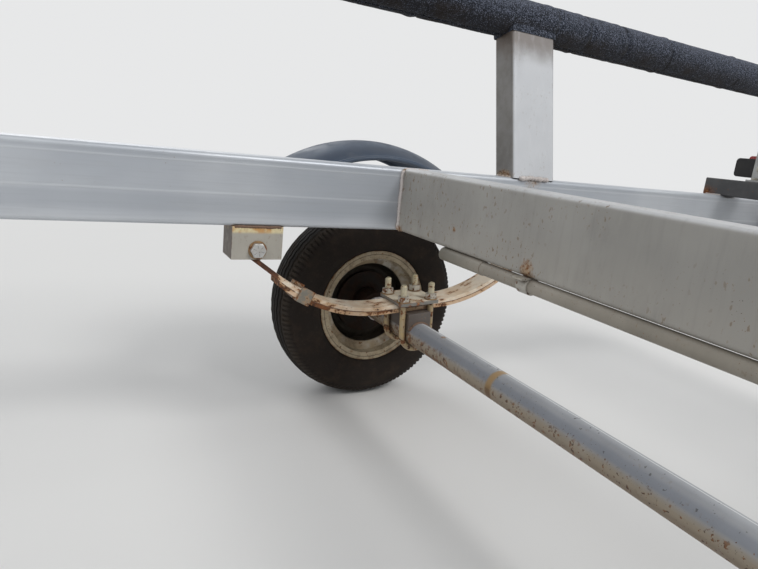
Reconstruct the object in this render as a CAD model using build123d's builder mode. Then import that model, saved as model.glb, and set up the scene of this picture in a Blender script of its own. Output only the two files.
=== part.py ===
from build123d import *
import os
from math import asin, atan2, cos, degrees, hypot, radians, sin, sqrt, tan

# Boat trailer with two wheels, parked level on its tongue jack.
# Millimetres. +X points forward to the coupler, +Y to the left, +Z up, and the ground is z = 0.
# The origin is on the ground, midway between the tail and the coupler's nose, on the centre line.

# Overall sizes
OVERALL_LENGTH = 4570.0
TAIL_TO_AXLE = 1060.0
FRAME_WIDTH = 1219.2
RAIL_UNDERSIDE = 378.4  # above the ground
TYRE_RADIUS = 195.0
WHEEL_OFFSET = 157.2  # from a rail's outer face to the wheel's middle plane

# Rectangular steel tube, 4 x 2 in, and the tongue's 4 x 3 in
RAIL_WIDTH = 50.8
RAIL_HEIGHT = 101.6
TONGUE_WIDTH = 76.2
TUBE_WALL = 3.2
TUBE_CORNER = 6.4

# Frame stations, from the axle
BEND_FROM_AXLE = 1250.0
DRAWBAR_ANGLE = 37.0
AXLE_MEMBER_GAP = 9.2  # axle centre to the rear face of the member just ahead of it
FRONT_MEMBER_SETBACK = 90.0
REAR_MEMBER_INSET = 16.0
LIGHT_BAR_FROM_AXLE = 807.0
LIGHT_BAR_DEPTH = 50.8
LIGHT_BAR_HEIGHT = 38.1

# Axle, springs and hangers
AXLE_TUBE_RADIUS = 22.2
AXLE_TUBE_WALL = 5.0
SPINDLE_RADIUS = 13.5
SPINDLE_COLLAR = 7.0
SPINDLE_SEAT = 60.0  # length held inside the axle tube
SPINDLE_OUTER = 36.0  # its end past the wheel's middle
HUB_END_GAP = 1.0
SPRING_TILT = 4.5  # the saddle turned on the axle, rear end up
SEAT_HEIGHT = 18.1
SEAT_LENGTH = 80.0
SEAT_SIDE_GAP = 0.5  # between the saddle's sides and the U-bolts
SEAT_SKIRT = 10.0  # the saddle's lower edge above the axle's centre
LEAF_WIDTH = 44.4
LEAF_THICKNESS = 7.0
LEAF_GAP = 0.3
SECOND_LEAF_AHEAD = 256.0
SECOND_LEAF_BEHIND = 236.0
FLAT_AHEAD = 64.0  # the leaves' straight stretch under the tie plate
FLAT_BEHIND = 49.0
LEAF_BEND_RADIUS = 270.0
SPRING_HALF_SPAN = 295.0
EYE_RADIUS = 10.3
EYE_DROP = 35.0  # eye centre below the rails' underside
SLIPPER_ANGLE = 36.0
SLIPPER_RADIUS = 45.0
SLIPPER_FLAT = 26.0
CLIP_FROM_AXLE = 212.0
CLIP_WIDTH = 24.0
CLIP_THICKNESS = 3.5
CLIP_EAR = 7.0
HANGER_WALL = 3.6
HANGER_CLEARANCE = 0.2
HANGER_LENGTH = 76.5
HANGER_DEPTH = 49.5
HANGER_BEHIND_EYE = 38.0
SLIPPER_HANGER_LENGTH = 92.0
SLIPPER_HANGER_DEPTH = 46.0
HANGER_BOLT_RADIUS = 7.1
BOLT_CLEARANCE = 0.15
BUSH_CLEARANCE = 0.05
HEX_SIZE = 20.6
HEX_HEIGHT = 8.0
BOLT_END = 6.0  # past its nut
U_BOLT_RADIUS = 5.5
U_BOLT_GAP = 0.3  # round the axle tube
LEAF_SIDE_GAP = 0.8  # from the leaves' edges to a U-bolt's leg
U_BOLT_THREAD = 28.0  # from the tie plate's top to the end of a leg
NUT_SIZE = 19.0
NUT_HEIGHT = 10.0
TIE_PLATE_THICKNESS = 6.0
TIE_PLATE_MARGIN = 11.0
TIE_PLATE_CORNER = 4.0
TIE_PLATE_CLEARANCE = 0.3
SEAT_CLEARANCE = 0.02  # round the axle tube
KEEPER_GAP = 3.0  # from the slipper's underside to the bolt that keeps it

# Wheels
RIM_WIDTH = 95.0
RIM_FLANGE_RADIUS = 114.5
BEAD_RADIUS = 101.6
RIM_WALL = 2.8
DROP_RADIUS = 86.0
WELL_FROM = -19.0  # the drop centre, across the wheel
WELL_TO = 17.0
WELL_SLOPE = 9.0
DISC_RADIUS = 73.0
DISC_BORE_RADIUS = 34.0
DISC_DISH = 6.5
STUD_HOLE_CLEARANCE = 0.5
TYRE_WIDTH = 116.0
TREAD_HALF_WIDTH = 41.0
TYRE_WALL = 8.0
TREAD_CROWN = 9.0  # the tread's middle above its edges
WIDEST_RADIUS = 146.0
BEAD_FOOT = 12.0
BEAD_HEEL = 10.0  # the casing's inner edge, from the flange
BEAD_HEEL_RISE = 2.0
CROWN_EXTRA = 3.0  # the casing is thicker under the tread's middle
HUB_BARREL_RADIUS = 31.0
HUB_FLANGE_RADIUS = 64.0
HUB_FLANGE_THICKNESS = 9.0
HUB_INNER = 56.0
HUB_BORE_CLEARANCE = 0.05
HUB_CAP_FROM = 38.0
# Outline of the barrel's end and its cap, as (across, radius)
HUB_CAP = ((26, 27), (52, 25), (58, 18), (60, 0), (57, 0), (55, 16), (49, 21), (HUB_CAP_FROM, 21))
STUD_CIRCLE_RADIUS = 50.8
STUD_COUNT = 4
STUD_RADIUS = 6.35
STUD_LENGTH = 26.0
WHEEL_NUT_SIZE = 20.6
WHEEL_NUT_HEIGHT = 14.0
DISC_THICKNESS = 4.0

# Fenders
FENDER_CENTRE_AHEAD = 21.0
FENDER_RADIUS = 323.0
FENDER_WIDTH = 170.0
FENDER_DROP = 28.0
FENDER_SHEET = 2.0
FENDER_LIP_RADIUS = 4.5
FENDER_HALF_ANGLE = 60.0
FENDER_STAY_ANGLE = 44.0
FENDER_STAY_WIDTH = 38.0
FENDER_STAY_THICKNESS = 6.0

# Bunks
POST_REAR_BEHIND_AXLE = 220.0
POST_FRONT_AHEAD_AXLE = 860.0
POST_FLARE = 13.5
BUNK_RISE = 284.0  # bunk centre above the rails' top
BUNK_TUBE_RADIUS = 30.15
BUNK_TUBE_WALL = 3.6
CARPET_THICKNESS = 6.05
BUNK_REAR_BEHIND_AXLE = 1050.0
BUNK_FRONT_AHEAD_AXLE = 1140.0
SOFT_GAP = 0.3
SLIP_GAP = 0.1

# Conduit under the axle member, with a sleeve on each end and two straps
CONDUIT_RADIUS = 9.0
CONDUIT_WALL = 1.5
CONDUIT_SETBACK = 6.0  # its axis behind the member's front face
CONDUIT_DROP = 1.0  # its top below the member
CONDUIT_REACH = 424.0
SLEEVE_FROM = 329.0
SLEEVE_WALL = 0.8
STRAP_AT = 244.0
STRAP_WIDTH = 18.0
STRAP_THICKNESS = 2.0
STRAP_TAB = 28.0
STRAP_LIP = 8.0  # in front of the band

# Tail lamps
LAMP_FROM_SIDE = 44.0
LAMP_WIDTH = 160.0
LAMP_HEIGHT = 42.0
LAMP_DEPTH = 42.0
LAMP_CORNER = 8.0
LENS_CORNER = 7.0
LENS_DEPTH = 16.0
LENS_RISE = 8.0  # the lens above its housing
LENS_INSET = 3.0
LENS_ROUNDING = 5.0
LAMP_ABOVE_BAR = 9.0
BRACKET_HEIGHT = 82.0
BRACKET_THICKNESS = 4.0
BRACKET_WIDTH = 70.0
BRACKET_FOOT = 24.0
BRACKET_OVERHANG = 4.0  # behind the light bar's middle
BRACKET_HOLE_RADIUS = 4.5

# Keel roller
ROLLER_RADIUS = 40.0
ROLLER_WAIST = 30.0
ROLLER_LENGTH = 150.0
ROLLER_LAND = 12.0
ROLLER_RISE = 62.0
ROLLER_PIN_RADIUS = 8.0
ROLLER_PIN_END = 12.0  # past each cheek's inner face
ROLLER_CLEARANCE = 0.06
ROLLER_SIDE_GAP = 3.0
CHEEK_FOOT = 48.0
CHEEK_HEAD_RADIUS = 17.0
CHEEK_THICKNESS = 6.0

# Coupler
COUPLER_LENGTH = 250.0
COUPLER_WALL = 4.0
COUPLER_DEPTH = 54.0
COUPLER_GAP = 0.2  # round the tongue
COUPLER_STRAIGHT = 18.0  # the channel ahead of the tongue's end
CUP_CROWN = 1.5  # thinnest wall above the ball
BALL_RADIUS = 25.6
BALL_COVER = 8.0  # from the ball to the nose's outer face
CUP_SKIRT = 11.5  # the socket cup's reach below the ball's centre
LATCH_WIDTH = 18.0
LATCH_LENGTH = 100.0
LATCH_HEIGHT = 34.0

# Winch post, winch and bow stop
WINCH_POST_FROM_NOSE = 1250.0
WINCH_POST_HEIGHT = 560.0
WINCH_POST_TUBE = 60.0
WINCH_BASE_LENGTH = 140.0
WINCH_TABLE_LENGTH = 150.0
WINCH_TABLE_WIDTH = 90.0
WINCH_TABLE_BACK = 20.0  # the table's middle behind the post's
WINCH_PLATE = 8.0
SPOOL_WIDTH = 60.0
SPOOL_DISC_RADIUS = 32.0
SPOOL_DISC = 3.0
SPOOL_DRUM_RADIUS = 14.0
SPOOL_HEIGHT = 46.0
SPOOL_FORWARD = 4.0  # ahead of the table's middle
WINCH_SHAFT_RADIUS = 8.0
WINCH_SHAFT_END = 45.0  # either side of the middle
WINCH_FRAME_LENGTH = 92.0
WINCH_FRAME_HEIGHT = 76.0
WINCH_FRAME_SHEET = 4.0
WINCH_FRAME_FLOOR = 5.0
WINCH_FRAME_INSIDE = 72.0
DRUM_SIDE_GAP = 2.0
CRANK_LENGTH = 150.0
CRANK_WIDTH = 24.0
CRANK_THICKNESS = 6.0
GRIP_RADIUS = 12.0
GRIP_LENGTH = 90.0
BOW_STOP_DROP = 110.0
BOW_STOP_HEIGHT = 76.0
BOW_STOP_LENGTH = 50.0
BOW_STOP_NOTCH = 30.0
STOP_ARM_LENGTH = 150.0
STOP_ARM_DEPTH = 40.0
STOP_ARM_THICKNESS = 5.0
STOP_ARM_BACK = 45.0  # the arms' middle behind the post's
BOW_STOP_BEHIND = 5.0  # the vee's root behind the arms

# Jack
JACK_FROM_NOSE = 620.0
JACK_AXIS_OFFSET = 60.0  # from the tongue's side to the jack's axis
JACK_LEG_RADIUS = 24.0
JACK_LEG_WALL = 4.0
JACK_TUBE_WALL = 4.52
JACK_SLIDE_CLEARANCE = 0.08
JACK_PLATE_THICKNESS = 8.0
JACK_PLATE_SIZE = 112.0
JACK_PLATE_OVERLAP = 18.0  # above and below the tongue
CLAMP_BOLT_RADIUS = 5.0
CLAMP_BOLT_INSET = 15.0
CLAMP_BOLT_RISE = 7.0
CLAMP_BOLT_END = 8.0
PIVOT_RADIUS = 20.0
PIVOT_CLEARANCE = 0.06
PIVOT_COLLAR_RADIUS = 46.0
PIVOT_SIDE_GAP = 1.5
JACK_TUBE_BELOW = 210.0
JACK_TUBE_ABOVE = 250.0
JACK_CAP = 6.0
JACK_LEG_TOP = 440.0
JACK_FOOT_SIZE = 100.0
JACK_FOOT_THICKNESS = 8.0
JACK_FOOT_CORNER = 14.0
JACK_SCREW_RADIUS = 9.0
JACK_SCREW_HEIGHT = 26.0

# Places that follow from the sizes above
SIDES = (("right", -1), ("left", 1))
TAIL_X = -OVERALL_LENGTH / 2
NOSE_X = OVERALL_LENGTH / 2
AXLE_X = TAIL_X + TAIL_TO_AXLE
AXLE_Z = TYRE_RADIUS
RAIL_Y = (FRAME_WIDTH - RAIL_WIDTH) / 2
RAIL_OUTER_Y = FRAME_WIDTH / 2
RAIL_INNER_Y = RAIL_OUTER_Y - RAIL_WIDTH
RAIL_BOTTOM = RAIL_UNDERSIDE
RAIL_TOP = RAIL_BOTTOM + RAIL_HEIGHT
RAIL_MID_Z = RAIL_TOP - RAIL_HEIGHT / 2
WHEEL_Y = RAIL_OUTER_Y + WHEEL_OFFSET
BEND_X = AXLE_X + BEND_FROM_AXLE
TONGUE_REAR_X = BEND_X - FRONT_MEMBER_SETBACK
TONGUE_FRONT_X = NOSE_X - COUPLER_LENGTH / 2
SEAT_TOP = AXLE_TUBE_RADIUS + SEAT_HEIGHT
LEAF_STEP = LEAF_THICKNESS + LEAF_GAP
MAIN_LEAF_AT = SEAT_TOP + 1.5 * LEAF_STEP + LEAF_GAP / 2  # middle of the main leaf above the axle's centre
PLATE_AT = MAIN_LEAF_AT + LEAF_THICKNESS / 2 + LEAF_GAP
NUTS_AT = PLATE_AT + TIE_PLATE_THICKNESS
EYE_Z = RAIL_BOTTOM - EYE_DROP
HANGER_INSIDE = LEAF_WIDTH + 2 * HANGER_CLEARANCE
U_BOLT_X = AXLE_TUBE_RADIUS + U_BOLT_GAP + U_BOLT_RADIUS
U_BOLT_Y = LEAF_WIDTH / 2 + LEAF_SIDE_GAP + U_BOLT_RADIUS
SEAT_WIDTH = 2 * (U_BOLT_X - U_BOLT_RADIUS - SEAT_SIDE_GAP)
BUNK_CARPET_RADIUS = BUNK_TUBE_RADIUS + SOFT_GAP + CARPET_THICKNESS
JACK_TUBE_RADIUS = JACK_LEG_RADIUS + JACK_SLIDE_CLEARANCE + JACK_TUBE_WALL

os.makedirs("parts", exist_ok=True)


def save(piece, name):
    piece.part.label = name
    export_step(piece.part, f"parts/{name}.step")


def box_section(width, height):
    """Rounded tube section in the sketch that is open."""
    RectangleRounded(width, height, TUBE_CORNER)
    RectangleRounded(width - 2 * TUBE_WALL, height - 2 * TUBE_WALL, TUBE_CORNER - TUBE_WALL,
                     mode=Mode.SUBTRACT)


def facing(origin, direction, across):
    """Sketch plane at origin that looks along direction, with its x along across."""
    return Plane(origin=origin, x_dir=across, z_dir=direction)


def hexagon(plane, size, height):
    """Bolt head or nut standing on the plane, its outer corners turned off to a cone."""
    with BuildPart() as head:
        with BuildSketch(plane):
            RegularPolygon(size / 2, 6, major_radius=False)
        extrude(amount=height)
        with Locations(plane):
            Cone(size / 2 + height / tan(radians(30)), size / 2, height,
                 align=(Align.CENTER, Align.CENTER, Align.MIN), mode=Mode.INTERSECT)
    return head.part


# Side rails: straight tubes, open at the tail and mitred at the front bend
bend_cos, bend_sin = cos(radians(DRAWBAR_ANGLE)), sin(radians(DRAWBAR_ANGLE))
for side, s in SIDES:
    bend = (BEND_X, s * RAIL_Y, RAIL_MID_Z)
    mitre = Plane(origin=bend, z_dir=(1 + bend_cos, -s * bend_sin, 0))
    with BuildPart() as rail:
        with BuildSketch(facing((TAIL_X, s * RAIL_Y, RAIL_MID_Z), (1, 0, 0), (0, 1, 0))):
            box_section(RAIL_WIDTH, RAIL_HEIGHT)
        extrude(amount=BEND_X + RAIL_WIDTH - TAIL_X)
        split(bisect_by=mitre, keep=Keep.BOTTOM)
    save(rail, f"side_rail_{side}")

    # Drawbar: from the mitre inwards to the tongue's side
    toward = (bend_cos, -s * bend_sin, 0)
    back = (BEND_X - RAIL_WIDTH * bend_cos, s * (RAIL_Y + RAIL_WIDTH * bend_sin), RAIL_MID_Z)
    with BuildPart() as drawbar:
        with BuildSketch(facing(back, toward, (s * bend_sin, bend_cos, 0))):
            box_section(RAIL_WIDTH, RAIL_HEIGHT)
        extrude(amount=2 * RAIL_WIDTH + RAIL_Y / bend_sin)
        split(bisect_by=mitre, keep=Keep.TOP)
        split(bisect_by=Plane(origin=(0, s * TONGUE_WIDTH / 2, 0), z_dir=(0, s, 0)), keep=Keep.TOP)
    save(drawbar, f"drawbar_{side}")

# Crossmembers butt on the rails' inner faces; each row is a name and its rear face
MEMBERS = (
    ("crossmember_rear", TAIL_X + REAR_MEMBER_INSET),
    ("crossmember_axle", AXLE_X + AXLE_MEMBER_GAP),
    ("crossmember_front", TONGUE_REAR_X - RAIL_WIDTH),
)
for name, rear_x in MEMBERS:
    with BuildPart() as member:
        middle = (rear_x + RAIL_WIDTH / 2, -RAIL_INNER_Y, RAIL_MID_Z)
        with BuildSketch(facing(middle, (0, 1, 0), (1, 0, 0))):
            box_section(RAIL_WIDTH, RAIL_HEIGHT)
        extrude(amount=2 * RAIL_INNER_Y)
    save(member, name)

# Tongue beam, from the front crossmember to the coupler
with BuildPart() as tongue:
    with BuildSketch(facing((TONGUE_REAR_X, 0, RAIL_MID_Z), (1, 0, 0), (0, 1, 0))):
        box_section(TONGUE_WIDTH, RAIL_HEIGHT)
    extrude(amount=TONGUE_FRONT_X - TONGUE_REAR_X)
save(tongue, "tongue_beam")

# Light bar: a box section lying across the rails' tops, open at both ends
light_bar_x = AXLE_X - LIGHT_BAR_FROM_AXLE - LIGHT_BAR_DEPTH / 2
with BuildPart() as light_bar:
    with BuildSketch(facing((light_bar_x, -RAIL_OUTER_Y, RAIL_TOP + LIGHT_BAR_HEIGHT / 2),
                            (0, 1, 0), (1, 0, 0))):
        RectangleRounded(LIGHT_BAR_DEPTH, LIGHT_BAR_HEIGHT, TUBE_CORNER / 2)
        Rectangle(LIGHT_BAR_DEPTH - 2 * TUBE_WALL, LIGHT_BAR_HEIGHT - 2 * TUBE_WALL, mode=Mode.SUBTRACT)
    extrude(amount=FRAME_WIDTH)
save(light_bar, "light_bar")

# Axle: a round tube between the wheels with a spindle in each end
axle_end = WHEEL_Y - HUB_INNER - HUB_END_GAP - SPINDLE_COLLAR
with BuildPart() as axle:
    with BuildSketch(facing((AXLE_X, -axle_end, AXLE_Z), (0, 1, 0), (1, 0, 0))):
        Circle(AXLE_TUBE_RADIUS)
        Circle(AXLE_TUBE_RADIUS - AXLE_TUBE_WALL, mode=Mode.SUBTRACT)
    extrude(amount=2 * axle_end)
save(axle, "axle_tube")
with BuildPart() as spindles:
    for side, s in SIDES:
        with BuildSketch(facing((AXLE_X, s * (axle_end - SPINDLE_SEAT), AXLE_Z), (0, s, 0), (1, 0, 0))):
            Circle(AXLE_TUBE_RADIUS - AXLE_TUBE_WALL)
        extrude(amount=SPINDLE_SEAT)
        with BuildSketch(facing((AXLE_X, s * axle_end, AXLE_Z), (0, s, 0), (1, 0, 0))):
            Circle(AXLE_TUBE_RADIUS)
        extrude(amount=SPINDLE_COLLAR)
        with BuildSketch(facing((AXLE_X, s * axle_end, AXLE_Z), (0, s, 0), (1, 0, 0))):
            Circle(SPINDLE_RADIUS)
        extrude(amount=WHEEL_Y - axle_end + SPINDLE_OUTER)
save(spindles, "spindles")

# Leaf springs. All that the U-bolts clamp is turned about the axle by the tilt: `along` runs forward
# and a little down, `up` stands square to it. The main leaf bends up on both sides of its straight
# stretch, to an eye in front and to a slipper end behind; the second leaf lies close under it.
tilt = radians(SPRING_TILT)
along, up = Vector(cos(tilt), -sin(tilt)), Vector(sin(tilt), cos(tilt))
eye_x = AXLE_X + SPRING_HALF_SPAN
eye = Vector(eye_x, EYE_Z)
eye_offset = EYE_RADIUS + LEAF_THICKNESS / 2
axle_centre = Vector(AXLE_X, AXLE_Z)
leaf_middle = axle_centre + MAIN_LEAF_AT * up

# The straight run from the bend to the eye touches both circles, which fixes how far the leaf bends
bend_to_eye = eye - (leaf_middle + FLAT_AHEAD * along + LEAF_BEND_RADIUS * up)
eye_slope = (degrees(atan2(bend_to_eye.Y, bend_to_eye.X)
                     + asin((LEAF_BEND_RADIUS - eye_offset) / hypot(bend_to_eye.X, bend_to_eye.Y))))
eye_run = sqrt(hypot(bend_to_eye.X, bend_to_eye.Y) ** 2 - (LEAF_BEND_RADIUS - eye_offset) ** 2)

# The straight run behind ends where the slipper's flat has its middle as far back as the eye is ahead
slope = radians(SLIPPER_ANGLE)
bend_end = (leaf_middle - FLAT_BEHIND * along + LEAF_BEND_RADIUS * up
            + LEAF_BEND_RADIUS * Vector(-sin(slope), -cos(slope)))
slipper_x = AXLE_X - SPRING_HALF_SPAN + SLIPPER_FLAT / 2
slipper_run = (bend_end.X - slipper_x - SLIPPER_RADIUS * sin(slope)) / cos(slope)
slipper_top = (bend_end.Y + slipper_run * sin(slope) + SLIPPER_RADIUS * (1 - cos(slope))
               + LEAF_THICKNESS / 2)
hanger_outer = HANGER_INSIDE + 2 * HANGER_WALL
front_x = eye_x - HANGER_BEHIND_EYE
slip_mid_x = AXLE_X - SPRING_HALF_SPAN
keeper = (slip_mid_x, slipper_top - LEAF_THICKNESS - HANGER_BOLT_RADIUS - KEEPER_GAP)


def clamped(y, height, ahead=0):
    """Sketch plane square to `up` at a height above the axle's centre; its x runs forward."""
    foot = axle_centre + height * up + ahead * along
    return Plane(origin=(foot.X, y, foot.Y), x_dir=(along.X, 0, along.Y), z_dir=(up.X, 0, up.Y))


for side, s in SIDES:
    mid_y = s * RAIL_Y
    edge = Plane(origin=(0, mid_y + LEAF_WIDTH / 2, 0), x_dir=(1, 0, 0), z_dir=(0, -1, 0))
    with BuildPart() as spring:
        for drop in (0, LEAF_STEP):
            start, radius = leaf_middle - drop * up, LEAF_BEND_RADIUS + drop
            with BuildSketch(edge):
                with BuildLine():
                    Line(start - FLAT_BEHIND * along, start + FLAT_AHEAD * along)
                    rise = JernArc(start + FLAT_AHEAD * along, along, radius, eye_slope + SPRING_TILT)
                    Line(rise @ 1, rise @ 1 + eye_run * (rise % 1))
                    fall = JernArc(start - FLAT_BEHIND * along, -along, radius, SPRING_TILT - SLIPPER_ANGLE)
                    slide = Line(fall @ 1, fall @ 1 + slipper_run * (fall % 1))
                    if drop == 0:
                        tip = JernArc(slide @ 1, fall % 1, SLIPPER_RADIUS, SLIPPER_ANGLE)
                        Line(tip @ 1, tip @ 1 - Vector(SLIPPER_FLAT, 0))
                trace(line_width=LEAF_THICKNESS)
                if drop == 0:
                    with Locations(eye):
                        Circle(eye_offset + LEAF_THICKNESS / 2)
                        Circle(EYE_RADIUS, mode=Mode.SUBTRACT)
                else:
                    with Locations((AXLE_X + (SECOND_LEAF_AHEAD - SECOND_LEAF_BEHIND) / 2, RAIL_BOTTOM / 2)):
                        Rectangle(SECOND_LEAF_AHEAD + SECOND_LEAF_BEHIND, RAIL_BOTTOM, mode=Mode.INTERSECT)
            extrude(amount=LEAF_WIDTH)
    save(spring, f"leaf_spring_{side}")

    # U-bolts: round bends under the axle tube, with a nut on each leg above the tie plate
    with BuildPart() as u_bolts:
        for row in (-1, 1):
            leg_y = mid_y + row * U_BOLT_Y
            hoop = Plane(origin=(AXLE_X, leg_y, AXLE_Z), x_dir=(along.X, 0, along.Y), z_dir=(0, -1, 0))
            with BuildLine(hoop):
                leg = Line((U_BOLT_X, NUTS_AT + U_BOLT_THREAD), (U_BOLT_X, 0))
                ThreePointArc((U_BOLT_X, 0), (0, -U_BOLT_X), (-U_BOLT_X, 0))
                Line((-U_BOLT_X, 0), (-U_BOLT_X, NUTS_AT + U_BOLT_THREAD))
            with BuildSketch(facing(leg @ 0, leg % 0, (along.X, 0, along.Y))):
                Circle(U_BOLT_RADIUS)
            sweep()
        for ahead in (-U_BOLT_X, U_BOLT_X):
            for aside in (-U_BOLT_Y, U_BOLT_Y):
                add(hexagon(clamped(mid_y + aside, NUTS_AT, ahead), NUT_SIZE, NUT_HEIGHT))
    save(u_bolts, f"u_bolts_{side}")

    # Hangers under the rail: a boxed one at the eye, and a slipper channel with its wear plate
    side_plane = Plane(origin=(0, mid_y + hanger_outer / 2, 0), x_dir=(1, 0, 0), z_dir=(0, -1, 0))
    with BuildPart() as hangers:
        with BuildSketch(side_plane):
            with Locations((front_x + HANGER_LENGTH / 2, RAIL_BOTTOM - HANGER_DEPTH / 2)):
                Rectangle(HANGER_LENGTH, HANGER_DEPTH)
            with Locations((slip_mid_x, RAIL_BOTTOM - SLIPPER_HANGER_DEPTH / 2)):
                Rectangle(SLIPPER_HANGER_LENGTH, SLIPPER_HANGER_DEPTH)
        extrude(amount=hanger_outer)
        with BuildSketch(side_plane.offset(HANGER_WALL)):
            with Locations((front_x + HANGER_LENGTH / 2 - HANGER_WALL,
                            RAIL_BOTTOM - HANGER_DEPTH / 2 - HANGER_WALL)):
                Rectangle(HANGER_LENGTH, HANGER_DEPTH)
            slot_height = slipper_top + LEAF_GAP - (RAIL_BOTTOM - SLIPPER_HANGER_DEPTH)
            with Locations((slip_mid_x, RAIL_BOTTOM - SLIPPER_HANGER_DEPTH + slot_height / 2)):
                Rectangle(SLIPPER_HANGER_LENGTH, slot_height)
        extrude(amount=HANGER_INSIDE, mode=Mode.SUBTRACT)
        with BuildSketch(side_plane):
            with Locations(eye, keeper):
                Circle(HANGER_BOLT_RADIUS + BOLT_CLEARANCE)
        extrude(amount=hanger_outer, mode=Mode.SUBTRACT)
    save(hangers, f"spring_hangers_{side}")

# Saddle on the axle tube: a pad under the leaves, hollowed to the tube and no wider than it
with BuildPart() as seats:
    for side, s in SIDES:
        with BuildSketch(Plane(origin=(AXLE_X, s * RAIL_Y + SEAT_LENGTH / 2, AXLE_Z),
                               x_dir=(along.X, 0, along.Y), z_dir=(0, -1, 0))):
            with Locations((0, (SEAT_TOP + SEAT_SKIRT) / 2)):
                Rectangle(SEAT_WIDTH, SEAT_TOP - SEAT_SKIRT)
            Circle(AXLE_TUBE_RADIUS + SEAT_CLEARANCE, mode=Mode.SUBTRACT)
        extrude(amount=SEAT_LENGTH)
save(seats, "spring_seats")

# Tie plate over the leaves, drilled for the two U-bolts
with BuildPart() as tie_plates:
    for side, s in SIDES:
        with BuildSketch(clamped(s * RAIL_Y, PLATE_AT)):
            RectangleRounded(2 * (U_BOLT_X + TIE_PLATE_MARGIN), 2 * (U_BOLT_Y + TIE_PLATE_MARGIN),
                             TIE_PLATE_CORNER)
            with GridLocations(2 * U_BOLT_X, 2 * U_BOLT_Y, 2, 2):
                Circle(U_BOLT_RADIUS + TIE_PLATE_CLEARANCE, mode=Mode.SUBTRACT)
        extrude(amount=TIE_PLATE_THICKNESS)
save(tie_plates, "tie_plates")

# Rebound clips: straps bent up round both leaves on the bend in front, open at the top
clip_turn = asin((CLIP_FROM_AXLE - (leaf_middle + FLAT_AHEAD * along + LEAF_BEND_RADIUS * up).X + AXLE_X)
                 / LEAF_BEND_RADIUS)
clip_along, clip_up = Vector(cos(clip_turn), sin(clip_turn)), Vector(-sin(clip_turn), cos(clip_turn))
clip_foot = (leaf_middle + FLAT_AHEAD * along + LEAF_BEND_RADIUS * up
             - (LEAF_BEND_RADIUS + LEAF_STEP + LEAF_THICKNESS / 2 + LEAF_GAP) * clip_up
             - CLIP_WIDTH / 2 * clip_along)
with BuildPart() as clips:
    for side, s in SIDES:
        with BuildSketch(Plane(origin=(clip_foot.X, s * RAIL_Y, clip_foot.Y), x_dir=(0, 1, 0),
                               z_dir=(clip_along.X, 0, clip_along.Y))):
            inside, ear = LEAF_WIDTH + 2 * LEAF_GAP, 2 * LEAF_STEP + CLIP_EAR
            with Locations((0, (ear - CLIP_THICKNESS) / 2)):
                Rectangle(inside + 2 * CLIP_THICKNESS, ear + CLIP_THICKNESS)
            with Locations((0, ear / 2)):
                Rectangle(inside, ear, mode=Mode.SUBTRACT)
        extrude(amount=CLIP_WIDTH)
save(clips, "rebound_clips")

# Bushes in the eyes, round the hanger bolts
with BuildPart() as bushes:
    for side, s in SIDES:
        with BuildSketch(facing((eye_x, s * RAIL_Y - LEAF_WIDTH / 2, EYE_Z), (0, 1, 0), (1, 0, 0))):
            Circle(EYE_RADIUS - BUSH_CLEARANCE)
            Circle(HANGER_BOLT_RADIUS + BUSH_CLEARANCE, mode=Mode.SUBTRACT)
        extrude(amount=LEAF_WIDTH)
save(bushes, "eye_bushes")

# Hanger bolts: heads on the inner side, nuts on the outer side
with BuildPart() as hanger_bolts:
    for side, s in SIDES:
        head = s * (RAIL_Y - hanger_outer / 2)
        for bolt_x, bolt_z in ((eye.X, eye.Y), keeper):
            with BuildSketch(facing((bolt_x, head, bolt_z), (0, s, 0), (1, 0, 0))):
                Circle(HANGER_BOLT_RADIUS)
            extrude(amount=hanger_outer + HEX_HEIGHT + BOLT_END)
            nut = head + s * hanger_outer
            add(hexagon(facing((bolt_x, head, bolt_z), (0, -s, 0), (1, 0, 0)), HEX_SIZE, HEX_HEIGHT))
            add(hexagon(facing((bolt_x, nut, bolt_z), (0, s, 0), (1, 0, 0)), HEX_SIZE, HEX_HEIGHT))
save(hanger_bolts, "hanger_bolts")

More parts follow.
